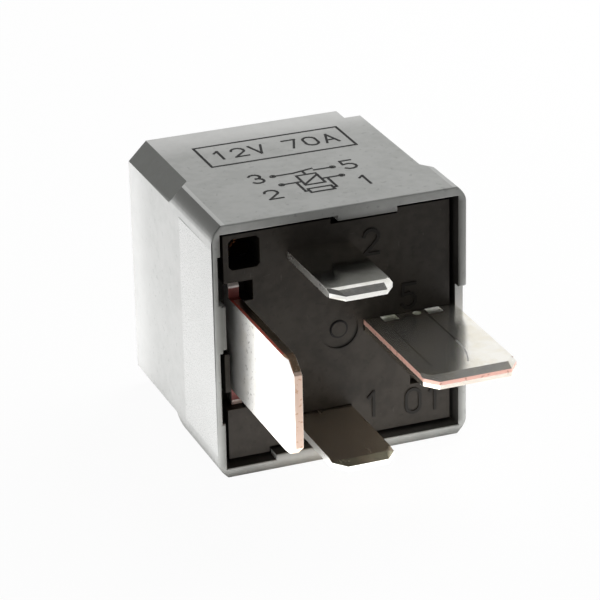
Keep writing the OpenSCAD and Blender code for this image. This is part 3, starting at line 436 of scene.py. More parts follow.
# %% Painting over a part
def lead_number(tree, socket, mask, value):
    """Lead a number socket of the shader towards value where the mask is one."""
    under = socket.links[0].from_socket if socket.is_linked else socket.default_value
    step = calc(tree, "MULTIPLY", mask, calc(tree, "SUBTRACT", value, under))
    tree.links.new(calc(tree, "ADD", under, step), socket)


def repaint(material, mask_of, colour, share=1.0, gloss=None, metallic=None):
    """Lay another finish over the material's own where mask_of(tree) is one."""
    tree = material.node_tree
    surface = tree.nodes["Principled BSDF"]
    mask = calc(tree, "MULTIPLY", mask_of(tree), share)
    socket = surface.inputs["Base Color"]
    tree.links.new(mixed(tree, mask, socket.links[0].from_socket, colour), socket)
    if gloss is not None:
        lead_number(tree, surface.inputs["Roughness"], mask, gloss)
    if metallic is not None:
        lead_number(tree, surface.inputs["Metallic"], mask, metallic)


def position(tree):
    """Object X, Y and Z as three sockets."""
    return split(tree, tree.nodes.new("ShaderNodeTexCoord").outputs["Object"])


def band(tree, value, middle, full, end):
    """One where a value is within full of the middle, falling to nothing at end."""
    off = calc(tree, "ABSOLUTE", calc(tree, "SUBTRACT", value, middle))
    return ramp(tree, off, full, end, 1.0, 0.0)


# %% Grey cover plastic
cover_dark = (0.325, 0.33, 0.315)
cover_light = (0.375, 0.38, 0.365)
half_width = cover_high.x - rim.x
half_height = cover_high.z - rim.z
cover_plastic = plastic("satin_cover_plastic", cover_dark, cover_light, 0.34, scuffing=0.10,
                        scuff_colour=(0.48, 0.48, 0.47), grain_bump=0.15, pitting=0.35)


def paler_closed_end(tree):
    """Paler patches towards the closed end."""
    far = ramp(tree, position(tree)["Y"], cover_high.y - 7 * MM, cover_high.y - 0.5 * MM)
    return calc(tree, "MULTIPLY", far, ramp(tree, noise(tree, 420, 4, 0.6), 0.25, 0.7, 0.78, 1.0))


def rim_wall_shade(tree):
    """Front of the upright rim walls, painted darker towards the cavity as shade."""
    place = position(tree)
    inner = band(tree, place["X"], rim.x, half_width - 0.95 * MM, half_width - 0.1 * MM)
    upright = band(tree, place["Z"], rim.z, half_height - 1.7 * MM, half_height - 0.8 * MM)
    front = ramp(tree, place["Y"], rim.y + 0.04 * MM, rim.y + 0.2 * MM, 1.0, 0.0)
    return calc(tree, "MULTIPLY", calc(tree, "MULTIPLY", inner, upright), front)


# The top is painted paler towards the closed end, in patches.
repaint(cover_plastic, paler_closed_end, (0.62, 0.62, 0.605), 0.9)
# Painted shade on the rim walls beside the cavity.
repaint(cover_plastic, rim_wall_shade, (0.09, 0.088, 0.08), 0.85)
pad_plastic = plastic("cover_pad_plastic", (0.405, 0.41, 0.395), (0.43, 0.435, 0.42), 0.28)
# Wide back chamfers: a darker, duller copy of the cover plastic, as painted shade.
chamfer_shade_plastic = plastic("cover_chamfer_plastic", (0.205, 0.21, 0.195), (0.225, 0.23, 0.215), 0.5,
                          grain_bump=0.06)
# Narrow band beside the top and the bottom near the rim: a paler copy of the cover plastic, as a painted
# highlight.
band_highlight_plastic = plastic("cover_edge_plastic", (0.47, 0.475, 0.46), (0.50, 0.505, 0.49), 0.4)
# Faces that look into the cavity: a near black copy of the cover plastic, as painted shade.
cavity_shade_plastic = plastic("cover_inside_plastic", (0.030, 0.029, 0.026), (0.045, 0.043, 0.040), 0.6,
                         shine=0.15)
# Rounded front corners: the cover plastic with painted shade, darkest beside the band, by the corner_shade
# attribute.
corner_painted_shade_plastic = plastic("cover_corner_plastic", cover_dark, cover_light, 0.45, grain_bump=0.1)
repaint(corner_painted_shade_plastic, lambda tree: held(tree, "corner_shade")["Fac"], (0.155, 0.158, 0.145))
print("cover plastics:", [m.name for m in bpy.data.materials if m.name.startswith("cover")])

# %% Dark base plastic
base_plastic = plastic("dark_base_plastic", (0.0230, 0.0192, 0.0155), (0.0345, 0.0295, 0.0240), 0.45,
                       grain=7000, scuffing=0.14, scuff_colour=(0.14, 0.13, 0.115), shine=0.12,
                       pitting=0.3)
print("base plastic:", base_plastic.name)

# %% Shades on the base
base_face = rim.y + 0.95 * MM
mark_outer = 2.0 * MM
mark_inner = 0.85 * MM


def mark_offset(tree):
    """Sideways and upward distance from the middle of the round mark."""
    place = position(tree)
    return calc(tree, "SUBTRACT", place["X"], rim.x), calc(tree, "SUBTRACT", place["Z"], rim.z)


def mark_distance(tree):
    """Distance from the middle of the round mark, across the base."""
    squares = [calc(tree, "MULTIPLY", off, off) for off in mark_offset(tree)]
    return calc(tree, "SQRT", calc(tree, "ADD", *squares))


def numeral_painted_shade(tree):
    """Tops of the raised numerals, painted darker than the face around them as shade."""
    depth = position(tree)["Y"]
    raised = ramp(tree, depth, base_face - 0.10 * MM, base_face - 0.04 * MM, 1.0, 0.0)
    return calc(tree, "MULTIPLY", raised, ramp(tree, depth, rim.y + 0.5 * MM, rim.y + 0.6 * MM))


def recess_shade(tree):
    """Slots and holes, which hold less light and more dirt than the open face."""
    return ramp(tree, position(tree)["Y"], base_face + 0.16 * MM, base_face + 0.30 * MM)


def ring_groove_shade(tree):
    """Thin ring round the centre of the mark, painted dark as the shade of a groove."""
    return band(tree, mark_distance(tree), mark_inner, 0.05 * MM, 0.16 * MM)


def lower_right_ring_shade(tree):
    """Lower right part of the outer ring of the mark, painted dark as shade."""
    ring = band(tree, mark_distance(tree), mark_outer - 0.08 * MM, 0.05 * MM, 0.30 * MM)
    sideways, upward = mark_offset(tree)
    lower_right = calc(tree, "SUBTRACT", calc(tree, "MULTIPLY", sideways, 0.75), upward)
    return calc(tree, "MULTIPLY", ring, ramp(tree, lower_right, 0.9 * MM, 2.2 * MM))


# Painted shade on the tops of the raised numerals.
repaint(base_plastic, numeral_painted_shade, (0.007, 0.006, 0.005), 0.8)
repaint(base_plastic, recess_shade, (0.006, 0.005, 0.004), 0.85)
# Painted shade in a ring round the centre of the mark.
repaint(base_plastic, ring_groove_shade, (0.004, 0.003, 0.003), 0.95)
# Painted shade on the lower right of the outer ring of the mark.
repaint(base_plastic, lower_right_ring_shade, (0.006, 0.005, 0.004), 0.8)
print("shader nodes in the base plastic:", len(base_plastic.node_tree.nodes))

# %% [markdown]
# ## Rounded copies of the hard parts
# The solids have knife-sharp edges. On the real parts every edge is a little round and catches a
# thin line of light. A bump could fake that, but the edge would still look sharp against the floor,
# so real bevels are cut. A CAD mesh is never changed: each visible part is copied, its loose
# triangles are merged, flat areas are joined into whole faces, and a bevel modifier rounds the
# edges by a weight that each edge holds. The copy then stands for the solid.

# %% Copy and round a solid
flat_angle = math.radians(0.6)


def only(piece):
    """Select this piece and nothing else, and make it active."""
    if bpy.context.object and bpy.context.object.mode != "OBJECT":
        bpy.ops.object.mode_set(mode="OBJECT")
    bpy.ops.object.select_all(action="DESELECT")
    piece.select_set(True)
    bpy.context.view_layer.objects.active = piece


def copied(node, name, whole_faces=True):
    """Merged copy of a CAD solid, with its flat areas as whole faces or left as they are."""
    piece = bpy.data.objects.new(name, nodes[node].data.copy())
    scene.collection.objects.link(piece)
    only(piece)
    bpy.ops.object.mode_set(mode="EDIT")
    bpy.ops.mesh.select_all(action="SELECT")
    bpy.ops.mesh.remove_doubles(threshold=0.0005 * MM)
    if whole_faces:
        bpy.ops.mesh.dissolve_limited(angle_limit=flat_angle)
    bpy.ops.mesh.normals_make_consistent(inside=False)
    bpy.ops.object.mode_set(mode="OBJECT")
    return piece


def edge_rounding(piece, rule):
    """Give each edge the bevel weight that rule(edge, angle in degrees) says."""
    mesh = bmesh.new()
    mesh.from_mesh(piece.data)
    layers = mesh.edges.layers.float
    weight = layers.get("bevel_weight_edge") or layers.new("bevel_weight_edge")
    count = 0
    for edge in mesh.edges:
        if len(edge.link_faces) == 2:
            edge[weight] = rule(edge, math.degrees(edge.calc_face_angle(0)))
            count += edge[weight] > 0
    mesh.to_mesh(piece.data)
    mesh.free()
    print(piece.name, "edges to round:", count)


def rounded(piece, width, segments=2, clamp=True):
    """Bevel the weighted edges by width times their weight, then shade the result smooth."""
    only(piece)
    bpy.ops.object.modifier_add(type="BEVEL")
    bevel = piece.modifiers[-1]
    bevel.limit_method = "WEIGHT"
    bevel.width = width
    bevel.segments = segments
    bevel.use_clamp_overlap = clamp
    bevel.harden_normals = False
    bpy.ops.object.modifier_apply(modifier=bevel.name)
    bpy.ops.object.shade_smooth_by_angle(angle=math.radians(35))
    bpy.ops.object.modifier_add(type="WEIGHTED_NORMAL")
    weighted = piece.modifiers[-1]
    weighted.keep_sharp = True
    bpy.ops.object.modifier_apply(modifier=weighted.name)


def finished(piece, node, body, *materials):
    """Give a piece its materials, let it ride on its body and stand for its solid."""
    piece.data.materials.clear()
    for material in materials:
        piece.data.materials.append(material)
    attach(piece, body)
    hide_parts(node)
    print(piece.name, "faces:", len(piece.data.polygons))


print("faces join where they turn by less than", round(math.degrees(flat_angle), 2), "degrees")

# %% [markdown]
# ## Cover
# The shell is one moulding. Near the rim its long corners are softly round towards the sides, with
# painted shade on them, and end in a narrow band beside the top and the bottom, painted pale as a
# highlight. Further back they turn into wide flat chamfers with crisp edges, painted darker as shade.
# The grip pads stand hardly proud and are smoother. One wide bevel could round the corners, but it
# folds over the tiny faces at the rim. So the side walls are cut level at a few heights and the new
# points are moved onto the round corner. The bevel then only takes off the fine edges, and each face
# gets its finish, its painted shade or its painted highlight by its place.

# %% Cover corners
cover = copied("cover", "cover_shell")
shell_side = cover_high.x - 0.1 * MM
corner_reach = 0.95 * MM
band_width = 0.45 * MM
band_x = shell_side - corner_reach - band_width
pad_step = 0.03 * MM
pad_step_at_rim = 0.003 * MM
lip_depth = 0.15 * MM
lip_depth_at_corner = 0.25 * MM
touching = 0.02 * MM
arc_steps = [(0.25 + 0.2 * step) * MM for step in range(8)]


def level_gap(point):
    """Distance from the top or the bottom of the cover, whichever is nearer."""
    return min(point.z - cover_low.z, cover_high.z - point.z)


def corner_inset(gap):
    """How far the rounded corner stays inside the flat side, at this distance from the top."""
    start, end = arc_steps[0], 2 * corner_reach - arc_steps[0]
    if gap <= start:
        return corner_reach - gap
    return max(end - gap, 0) ** 2 / (2 * (end - start))


mesh = bmesh.new()
mesh.from_mesh(cover.data)
for vertex in mesh.verts:
    co = vertex.co
    depth = co.y - rim.y
    if abs(co.x) > shell_side + 0.05 * MM:
        proud = pad_step if depth > 1 * MM else pad_step_at_rim
        co.x = math.copysign(shell_side + proud, co.x)
    on_outline = min(shell_side - abs(co.x), level_gap(co)) < touching
    at_corner = level_gap(co) < 1.5 * MM
    if on_outline and depth < (lip_depth_at_corner if at_corner else lip_depth):
        co.y = rim.y
mesh.normal_update()
bmesh.ops.dissolve_limit(mesh, angle_limit=flat_angle, verts=mesh.verts, edges=mesh.edges)
for band_edge in (-band_x, band_x):
    everything = mesh.verts[:] + mesh.edges[:] + mesh.faces[:]
    bmesh.ops.bisect_plane(mesh, geom=everything, plane_co=(band_edge, 0, 0), plane_no=(1, 0, 0))
print("cover points:", len(mesh.verts))

# %% Rounded front corners
wall_zone = 1.1 * MM
front_part = 15.2 * MM
round_depth = 12 * MM
round_height = 1.8 * MM


def outer_side(face):
    """Tell whether a face is part of an outer side wall, in the front part of the cover."""
    middle = face.calc_center_median()
    outward = abs(face.normal.x) > 0.5 and face.normal.x * middle.x > 0
    return outward and abs(middle.x) > shell_side - wall_zone and middle.y < rim.y + front_part


for gap in arc_steps:
    for height in (cover_low.z + gap, cover_high.z - gap):
        walls = [face for face in mesh.faces if outer_side(face)]
        parts = {part for face in walls for part in (*face.edges, *face.verts)}
        bmesh.ops.bisect_plane(mesh, geom=[*walls, *parts], plane_co=(0, 0, height), plane_no=(0, 0, 1))
for vertex in mesh.verts:
    co = vertex.co
    gap = level_gap(co)
    chamfer_inset = max(corner_reach - gap, 0)
    on_side = abs(shell_side - abs(co.x) - chamfer_inset) < 0.01 * MM
    if on_side and gap < round_height and co.y < rim.y + round_depth:
        co.x = math.copysign(shell_side - corner_inset(gap), co.x)
mesh.to_mesh(cover.data)
mesh.free()
print("cover points with rounded corners:", len(cover.data.vertices))

# %% Cover edges
rim_round = 0.16 * MM
rim_side_round = 0.2 * MM
inner_round = 0.12 * MM
crisp_round = 0.04 * MM
rim_zone = 0.3 * MM
wall_gap = 0.9 * MM


def cover_edge(edge, angle):
    """Bevel weight of an edge of the cover: round at the rim, crisp elsewhere, none on the pads."""
    a, b = (v.co for v in edge.verts)
    middle = (a + b) / 2
    depth = middle.y - rim.y
    side_gap = shell_side - abs(middle.x)
    on_pad = side_gap < -0.01 * MM or abs(side_gap) < touching and depth > 0.2 * MM
    if angle < 20 or on_pad:
        return 0
    if depth >= rim_zone:
        return crisp_round / rim_round
    if min(side_gap, level_gap(middle)) > wall_gap:
        return inner_round / rim_round
    return 1.0 if level_gap(middle) < 0.1 * MM else rim_side_round / rim_round


edge_rounding(cover, cover_edge)
rounded(cover, rim_round, 4, clamp=False)

# %% Cover finishes
finished(cover, "cover", "relay_case", cover_plastic, pad_plastic, chamfer_shade_plastic, band_highlight_plastic,
         corner_painted_shade_plastic, cavity_shade_plastic)
SKIN, PAD, BACK_SHADE, BAND_LIGHT, ROUND_SHADE, CAVITY_SHADE = range(6)  # in the order of the materials above
pad_depth = 9.4 * MM
band_depth = 11.6 * MM
chamfer_start = 10.8 * MM
chamfer_width = 2.2 * MM
corner_depth = 11 * MM
corner_height = 1.7 * MM
shade_start = 0.3 * MM
shade_reach = 1.35 * MM


def cover_finish(face):
    """Number of the material that suits the place of a face of the cover."""
    sideways, upright = abs(face.normal.x), abs(face.normal.z)
    side_gap = shell_side - abs(face.center.x)
    gap = level_gap(face.center)
    depth = face.center.y - rim.y
    outward = face.normal.x * (face.center.x - rim.x) + face.normal.z * (face.center.z - rim.z)
    behind_rim = depth > lip_depth
    step_inside = face.normal.y < -0.9 and min(side_gap, gap) > 1 * MM and behind_rim
    if side_gap < -0.01 * MM and depth < pad_depth:
        return PAD
    if outward < -1 * MM or step_inside:
        return CAVITY_SHADE if behind_rim else SKIN
    if upright > 0.9 and gap < 0.2 * MM and side_gap < corner_reach + band_width and depth < band_depth:
        return BAND_LIGHT
    if min(sideways, upright) > 0.55 and max(side_gap, gap) < chamfer_width and depth > chamfer_start:
        return BACK_SHADE
    if side_gap < corner_reach and gap < corner_height and depth < corner_depth and sideways > 0.5:
        return ROUND_SHADE
    return SKIN


for face in cover.data.polygons:
    face.material_index = cover_finish(face)
# Painted shade on the rounded corners: full beside the band, fading to nothing towards the side.
shade = cover.data.attributes.new("corner_shade", "FLOAT", "POINT")
for vertex, value in zip(cover.data.vertices, shade.data):
    away = min(max((level_gap(vertex.co) - shade_start) / shade_reach, 0), 1)
    value.value = 1 - away * away * (3 - 2 * away)
print("cover faces on the grip pads:", sum(face.material_index == PAD for face in cover.data.polygons))

# %% [markdown]
# ## Base
# The base is a dark plate pushed into the cover, with slots for the blades, a vent hole and raised
# numerals. All of that is in its solid already, so its copy only needs round edges. The solid fills
# the cover tightly. A real plate leaves a fine dark gap, so the copy is made a little smaller.

# %% Base
fit_gap = 0.15 * MM
base = copied("base", "base_plate")
base_low, base_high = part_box("base")
shrink = [1 - 2 * fit_gap / (base_high[axis] - base_low[axis]) for axis in (0, 2)]
for vertex in base.data.vertices:
    vertex.co.x = rim.x + (vertex.co.x - rim.x) * shrink[0]
    vertex.co.z = rim.z + (vertex.co.z - rim.z) * shrink[1]
edge_rounding(base, lambda edge, angle: 1.0 if angle > 20 else 0)
rounded(base, 0.06 * MM, 2)
finished(base, "base", "relay_case", base_plastic)

# %% [markdown]
# ## Blades
# Each blade is punched from tinned copper strip. Its faces carry the bright tin, with fine streaks
# along the strip, and its cut edges show bare copper, torn on the side where the punch came out.
# Patterns in object space would run across some blades and along others. So every point of a blade
# gets an attribute that holds its place across, along and through the strip, and the patterns
# follow that, whichever way the blade is turned.

# %% Metal recipe
bow_end = 2.0 * MM


def metal(name, colour, rough, metallic=1.0):
    """Plain metal to build a finish on."""
    material = bpy.data.materials.new(name)
    material.use_nodes = True
    surface = material.node_tree.nodes["Principled BSDF"]
    surface.inputs["Metallic"].default_value = metallic
    surface.inputs["Base Color"].default_value = (*colour, 1)
    surface.inputs["Roughness"].default_value = rough
    return material


def strip_place(tree):
    """Place across, along and through the strip as three sockets."""
    return split(tree, strip_vector(tree))


def strip_metal(name, first, second, gloss, streaks=160, streak_bump=0.004, wave_bump=0.0,
                metallic=1.0, bow=0.0, length=0.0, streaking=0.01):
    """Rolled strip: two tones in clouds, streaks along it, slow waves, and a bow along its length."""
    material = metal(name, first, gloss, metallic)
    tree = material.node_tree
    surface = tree.nodes["Principled BSDF"]
    strip = place_group(tree, rolled_group, Streaks_per_metre=streaks)
    tree.links.new(mixed(tree, strip.outputs["Cloud"], first, second), surface.inputs["Base Color"])
    rough = ramp(tree, strip.outputs["Streaks"], 0.35, 0.7, gloss - streaking, gloss + streaking)
    rough = calc(tree, "ADD", rough, calc(tree, "MULTIPLY", strip.outputs["Cloud"], 0.03))
    tree.links.new(rough, surface.inputs["Roughness"])
    normal = bump(tree, strip.outputs["Waves"], wave_bump, 0.3 * MM)
    if bow:
        along = calc(tree, "MAXIMUM", strip_place(tree)["Y"], bow_end)
        reach = calc(tree, "MAXIMUM", calc(tree, "SUBTRACT", length, along), 0.0)
        rise = calc(tree, "MULTIPLY", calc(tree, "MULTIPLY", reach, reach), bow)
        normal = bump(tree, rise, 1.0, 1.0, normal)
    normal = bump(tree, strip.outputs["Streaks"], streak_bump, 0.01 * MM, normal)
    tree.links.new(normal, surface.inputs["Normal"])
    return material


print("a bow in a blade ends", round(bow_end / MM, 1), "mm from its tip")

# %% Masks on a strip
def torn(start, above=True):
    """Torn part of a cut edge, on one side of start through the strip."""
    def mask(tree):
        share = place_group(tree, cut_group, Torn_from=start).outputs["Torn"]
        return share if above else calc(tree, "SUBTRACT", 1.0, share)
    return mask


def nicked(tree):
    """Small nicks along a cut edge."""
    return place_group(tree, cut_group).outputs["Nicks"]


def between(label, low, high, soft=0.05 * MM):
    """Part of the strip between two places across (X), along (Y) or through (Z) it."""
    def mask(tree):
        place = strip_place(tree)[label]
        rising = ramp(tree, place, low - soft, low + soft)
        return calc(tree, "MULTIPLY", rising, ramp(tree, place, high - soft, high + soft, 1.0, 0.0))
    return mask


def both(first, second):
    """Where two masks are one."""
    return lambda tree: calc(tree, "MULTIPLY", first(tree), second(tree))


def drawn_line(tree):
    """Long line scored into the wide blade, straight from its root and curving near the tip."""
    place = strip_place(tree)
    bend = calc(tree, "MAXIMUM", calc(tree, "SUBTRACT", 7.0 * MM, place["Y"]), 0.0)
    curve = calc(tree, "MULTIPLY", calc(tree, "MULTIPLY", bend, bend), 52.0)
    return band(tree, place["X"], calc(tree, "SUBTRACT", 1.38 * MM, curve), 0.03 * MM, 0.11 * MM)


# %% Tinned faces
tin_clean = strip_metal("tin_clean", (0.90, 0.89, 0.85), (0.80, 0.79, 0.73), 0.11, wave_bump=0.08,
                        bow=2.2, length=11 * MM)
tin_brown = strip_metal("tin_brown", (0.66, 0.57, 0.47), (0.54, 0.45, 0.36), 0.24, wave_bump=0.05,
                        metallic=0.92)
# The sloped tip of blade 1 is painted paler, as the reflection its slope shows.
repaint(tin_brown, between("Y", -1 * MM, 1.35 * MM), (0.80, 0.79, 0.62), 0.8)
tin_bright = strip_metal("tin_bright", (0.86, 0.85, 0.82), (0.74, 0.72, 0.67), 0.34, wave_bump=0.1,
                         metallic=0.8, streaking=0.03)
repaint(tin_bright, both(nicked, between("Y", 9.5 * MM, 13 * MM, 1 * MM)), (0.25, 0.24, 0.21), 0.6)
tin_wide = strip_metal("tin_wide", (0.97, 0.95, 0.89), (0.94, 0.90, 0.79), 0.18, wave_bump=0.07,
                       metallic=0.93)
tin_press = strip_metal("tin_press", (0.98, 0.98, 0.94), (0.46, 0.47, 0.38), 0.3, wave_bump=0.3,
                        metallic=0.7)

dark_scratch = both(drawn_line, between("Y", 7.6 * MM, 15 * MM))
pale_scratch = both(drawn_line, between("Y", 2.8 * MM, 7.6 * MM))
left_scratch = both(between("X", -3.16 * MM, -3.02 * MM, 0.06 * MM), between("Y", 3.2 * MM, 12.4 * MM))
worn_stripe = both(between("X", -2.9 * MM, 0.4 * MM, 0.3 * MM),
                   between("Y", 4.2 * MM, 12.4 * MM, 0.3 * MM))
repaint(tin_wide, dark_scratch, (0.22, 0.19, 0.15), 0.9)
repaint(tin_wide, pale_scratch, (0.95, 0.95, 0.93), 0.9, gloss=0.5)
repaint(tin_wide, left_scratch, (0.35, 0.31, 0.25), 0.7)
repaint(tin_wide, worn_stripe, (1.0, 0.97, 0.90), 0.5, gloss=0.2)
print("tins:", [m.name for m in bpy.data.materials if m.name.startswith("tin_")])

# %% Cut edges
tin_cut = strip_metal("tin_cut", (0.95, 0.94, 0.90), (0.88, 0.87, 0.82), 0.28, 900, 0.02, metallic=0.8)
copper_cut = strip_metal("copper_cut", (0.95, 0.90, 0.80), (0.90, 0.80, 0.70), 0.24, 900, 0.05)
repaint(copper_cut, torn(-0.02 * MM), (0.94, 0.56, 0.47), 1.0, gloss=0.5, metallic=0.45)
repaint(copper_cut, both(nicked, torn(-0.02 * MM)), (0.45, 0.20, 0.14), 0.7)

copper_red = strip_metal("copper_red", (0.62, 0.54, 0.44), (0.50, 0.41, 0.31), 0.28, 900, 0.05)
tip_end = between("Y", -1 * MM, 0.3 * MM)
near_root = between("Y", 18.9 * MM, 30 * MM)
shoulders = between("Y", 16 * MM, 18.9 * MM)
repaint(copper_red, torn(-0.30 * MM, above=False), (0.60, 0.12, 0.085), 1.0, gloss=0.5, metallic=0.4)
repaint(copper_red, between("Y", 0.35 * MM, 2.7 * MM), (0.50, 0.32, 0.19), 0.8, gloss=0.4)
repaint(copper_red, tip_end, (0.80, 0.60, 0.49), 1.0, gloss=0.5, metallic=0.4)
repaint(copper_red, both(nicked, tip_end), (0.62, 0.36, 0.22), 0.8)
# Nicks near the tip, painted pale as highlights.
repaint(copper_red, both(nicked, between("Y", 0.35 * MM, 4.5 * MM)), (0.85, 0.62, 0.45), 0.8)
repaint(copper_red, near_root, (0.78, 0.30, 0.18), 1.0, gloss=0.3, metallic=0.85)
repaint(copper_red, shoulders, (0.15, 0.016, 0.010), 1.0, gloss=0.5, metallic=0.0)
# The top and bottom ends of the shoulders are painted near white as highlights.
for low, high in ((-6.6, -5.95), (5.75, 6.4)):
    shoulder_highlight = both(shoulders, between("X", low * MM, high * MM))
    repaint(copper_red, shoulder_highlight, (0.98, 0.88, 0.84), 1.0, gloss=0.25)
print("cut edges:", tin_cut.name, copper_cut.name, copper_red.name)

# %% Blade builder
X, Y, Z = range(3)
blade_round = 0.22 * MM
fine_weight = 0.28


def blade(node, name, across, through, *materials, reshape=None):
    """Rounded copy of a terminal, with its width and its thickness along the axes across and through.
    Its finishes are for its faces, its cut edges and, on a pressed blade, its pressed marks."""
    piece = copied(node, name)
    if reshape:
        for vertex in piece.data.vertices:
            reshape(vertex.co)

    def blade_edge(edge, angle):
        """Full rounding for shallow edges straight across the blade, a fine one for the others."""
        a, b = (vertex.co for vertex in edge.verts)
        if angle <= 4:
            return 0
        straight_across = abs((b - a).normalized()[across]) > 0.9
        return 1.0 if straight_across and angle <= 25 else fine_weight

    edge_rounding(piece, blade_edge)
    rounded(piece, blade_round, 3)
    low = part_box(node)[0]
    front = [v.co for v in piece.data.vertices if v.co.y < rim.y - 1 * MM]
    middle = [(min(co[axis] for co in front) + max(co[axis] for co in front)) / 2 for axis in (X, Y, Z)]
    half_across = max(co[across] for co in front) - middle[across]
    half_through = max(co[through] for co in front) - middle[through]
    strip = piece.data.attributes.new("strip", "FLOAT_VECTOR", "POINT")
    for vertex, value in zip(piece.data.vertices, strip.data):
        co = vertex.co
        value.vector = (co[across] - middle[across], co.y - low.y, co[through] - middle[through])
    finished(piece, node, "relay_case", *materials)
    has_press = len(materials) > 2
    for face in piece.data.polygons:
        if abs(face.normal[through]) > 0.6:
            sunk = half_through - abs(face.center[through] - middle[through]) > 0.1 * MM
            pressed = sunk and face.center.y > rim.y - 1 * MM and abs(face.normal[through]) > 0.9
            face.material_index = 2 if has_press and pressed else 0
        else:
            outline = abs(face.center[across] - middle[across]) > half_across - 0.4 * MM
            tip = face.center.y < low.y + 3 * MM
            face.material_index = 1 if outline or tip or not has_press else 2


print("blade edges are rounded by", round(blade_round / MM, 2), "mm at most")

# %% Four blades
def longer_shoulders(place):
    """Shoulders of the feed blade, a little taller above and a good deal taller below."""
    depth = place.y - rim.y
    height = place.z - rim.z
    if 2.0 * MM < depth < 3.5 * MM and abs(height) > 4.9 * MM:
        place.z += 0.4 * MM if height > 0 else -0.9 * MM


blade("terminal_1", "blade_1", X, Z, tin_brown, tin_cut)
blade("terminal_2", "blade_2", X, Z, tin_clean, tin_cut)
blade("terminal_3", "blade_3", Z, X, tin_bright, copper_red, reshape=longer_shoulders)
blade("terminal_5", "blade_5", X, Z, tin_wide, copper_cut, tin_press)

# %% [markdown]
# ## Print
# The rating, the circuit and its numbers are printed on the cover in black ink. They could be a
# picture laid over the cover, but the ink is a thin solid layer of its own, so it stays sharp from
# close by. It keeps its CAD mesh and only needs a dull black with a little grain.

# %% Ink
def coat(node, material):
    """Give a CAD solid this one material."""
    nodes[node].data.materials.clear()
    nodes[node].data.materials.append(material)


ink = plastic("black_ink", (0.018, 0.018, 0.018), (0.030, 0.030, 0.029), 0.6, grain=14000, shine=0.2)
coat("circuit_print", ink)
print("print finish:", ink.name)

# %% [markdown]
# ## Metal parts inside
# The yoke and the armature are steel with a zinc coat, the pole of the core is nickel plated, and
# the contacts are silver. They are seen only when the cover is off, so they could stay plain, but
# then they would all look alike. One recipe gives each its own tones, a mottle as plating has, a
# fine grain and, where it ages, a tarnish.

# %% Plated metal recipe
def plated(name, first, second, gloss, mottle=500, stain=None):
    """Plated or bare metal: two tones in a mottle, a fine grain, and a tarnish where one is given."""
    material = metal(name, first, gloss)
    tree = material.node_tree
    surface = tree.nodes["Principled BSDF"]
    skin = place_group(tree, plating_group, Mottle_per_metre=mottle)
    colour = mixed(tree, skin.outputs["Mottle"], first, second)
    if stain:
        colour = mixed(tree, calc(tree, "MULTIPLY", skin.outputs["Stain"], 0.5), colour, stain)
    tree.links.new(colour, surface.inputs["Base Color"])
    rough = ramp(tree, skin.outputs["Grain"], 0.3, 0.7, gloss - 0.05, gloss + 0.08)
    tree.links.new(rough, surface.inputs["Roughness"])
    tree.links.new(bump(tree, skin.outputs["Grain"], 0.12, 0.015 * MM), surface.inputs["Normal"])
    return material


steel = plated("zinc_plated_steel", (0.62, 0.63, 0.64), (0.50, 0.52, 0.55), 0.34, 420, (0.66, 0.60, 0.42))
pole_steel = plated("nickel_plated_iron", (0.66, 0.64, 0.60), (0.56, 0.54, 0.50), 0.24, 700)
bronze = plated("spring_bronze", (0.78, 0.55, 0.30), (0.70, 0.46, 0.24), 0.26, 600, (0.42, 0.26, 0.14))
rivet_metal = plated("rivet_metal", (0.70, 0.62, 0.45), (0.60, 0.52, 0.36), 0.30, 1500)
silver = plated("contact_silver", (0.88, 0.87, 0.85), (0.76, 0.74, 0.70), 0.24, 1800, (0.35, 0.30, 0.26))
tinned_wire = plated("tinned_wire", (0.75, 0.75, 0.73), (0.62, 0.62, 0.60), 0.26, 2200)
metal_parts = {
    "yoke": steel, "armature": steel, "core": pole_steel, "resistor_leads": tinned_wire,
    "moving_contact": silver, "fixed_contact": silver, "armature_rivets": rivet_metal,
    "spring_rivets": rivet_metal, "terminal_rivets": rivet_metal,
}
for node, material in metal_parts.items():
    coat(node, material)
print("metal parts inside:", len(metal_parts), "and the spring, which gets", bronze.name)

# %% [markdown]
# ## Coil
# The coil is some hundreds of turns of enamelled copper wire on a pale bobbin, held by a turn of
# amber tape. Modelling each turn would cost many faces for a part that is hardly ever seen. So the
# winding stays one smooth ring, and a sine wave along it gives the bump and a painted shade in the
# gaps between the turns, with a slow noise that keeps them from lying too evenly.

# %% Coil
wire_pitch = 0.25 * MM
wire_colours = ((0.66, 0.26, 0.10), (0.56, 0.19, 0.07))


def turn_height(tree):
    """Height of the turns of wire, from -1 between two turns to 1 on top of one."""
    turn = calc(tree, "MULTIPLY", position(tree)["Y"], 2 * math.pi / wire_pitch)
    uneven = calc(tree, "MULTIPLY", noise(tree, 300, 2), 3.0)
    return calc(tree, "SINE", calc(tree, "ADD", turn, uneven))


def wound(material):
    """Raise the turns of wire over the material's own grain."""
    tree = material.node_tree
    socket = tree.nodes["Principled BSDF"].inputs["Normal"]
    under = socket.links[0].from_socket
    tree.links.new(bump(tree, turn_height(tree), 0.8, 0.03 * MM, under), socket)


def wire_gap_shade(tree):
    """Painted shade in the gaps between the turns."""
    return ramp(tree, turn_height(tree), -1.0, -0.4, 1.0, 0.0)


copper_wire = plated("enamelled_wire", *wire_colours, 0.22, 900)
winding_wire = plated("wound_enamelled_wire", *wire_colours, 0.24, 900)
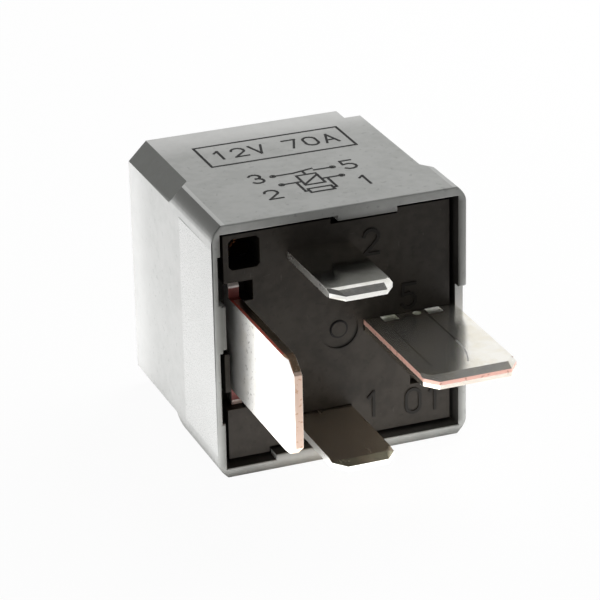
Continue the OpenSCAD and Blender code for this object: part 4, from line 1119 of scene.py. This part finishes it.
# One bump is too flat for round wire, so a second lies on it.
wound(winding_wire)
wound(winding_wire)
# Painted shade in the gaps between the turns.
repaint(winding_wire, wire_gap_shade, (0.16, 0.05, 0.02), 0.8)
tape = plastic("coil_tape", (0.42, 0.24, 0.045), (0.50, 0.31, 0.07), 0.16, grain=2500, grain_bump=0.5)
bobbin_plastic = plastic("pale_bobbin_plastic", (0.60, 0.55, 0.42), (0.68, 0.63, 0.50), 0.42, pitting=0.3)
coat("coil_winding", winding_wire)
coat("coil_lead_1", copper_wire)
coat("coil_lead_2", copper_wire)
coat("coil_tape", tape)
coat("bobbin", bobbin_plastic)
print("turns of wire in each mm of the coil:", round(MM / wire_pitch))

# %% [markdown]
# ## Resistor
# A small resistor lies across the coil, with tan lacquer and four painted rings. The rings could be
# separate thin pieces, but paint has no thickness worth modelling. So they are masks along the
# resistor, placed by shares of its length.

# %% Resistor
lacquer = plastic("resistor_lacquer", (0.60, 0.47, 0.31), (0.66, 0.53, 0.37), 0.18, grain=4000)
resistor_low, resistor_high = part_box("resistor_body")
ring_colours = {0.22: (0.01, 0.08, 0.30), 0.38: (0.22, 0.22, 0.23), 0.54: (0.13, 0.05, 0.02),
                0.78: (0.55, 0.38, 0.10)}


def painted_ring(place):
    """Painted ring round the resistor, at a share of its length."""
    middle = resistor_low.x + place * (resistor_high.x - resistor_low.x)
    return lambda tree: band(tree, position(tree)["X"], middle, 0.26 * MM, 0.30 * MM)


for place, colour in ring_colours.items():
    repaint(lacquer, painted_ring(place), colour)
coat("resistor_body", lacquer)
print("rings on the resistor:", len(ring_colours))

# %% [markdown]
# ## Contact spring
# The spring is a bronze leaf, riveted to the yoke at one end and to the armature at the other. If it
# rode on either of them it would tear from the other as the armature pulls in. So each point of its
# copy holds a weight: for the case up to the bend, for the armature beyond it, and a blend of both in
# between.

# %% Contact spring
spring = copied("contact_spring", "contact_spring_strip", whole_faces=False)
only(spring)
bpy.ops.object.shade_smooth_by_angle(angle=math.radians(30))
spring.data.materials.clear()
spring.data.materials.append(bronze)
spring_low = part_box("contact_spring")[0]
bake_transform(spring, "relay_case", "armature_set", start=(spring_low.x, 9.6 * MM, rim.z),
         end=(spring_low.x + 3.4 * MM, 14.2 * MM, rim.z))
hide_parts("contact_spring")
print("contact spring faces:", len(spring.data.polygons))

# %% Sizes and finish
dressed_low, dressed_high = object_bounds()
change = [*(dressed_low - solid_low), *(dressed_high - solid_high)]
print("dressed minus solid in mm:", [round(value / MM, 3) for value in change])
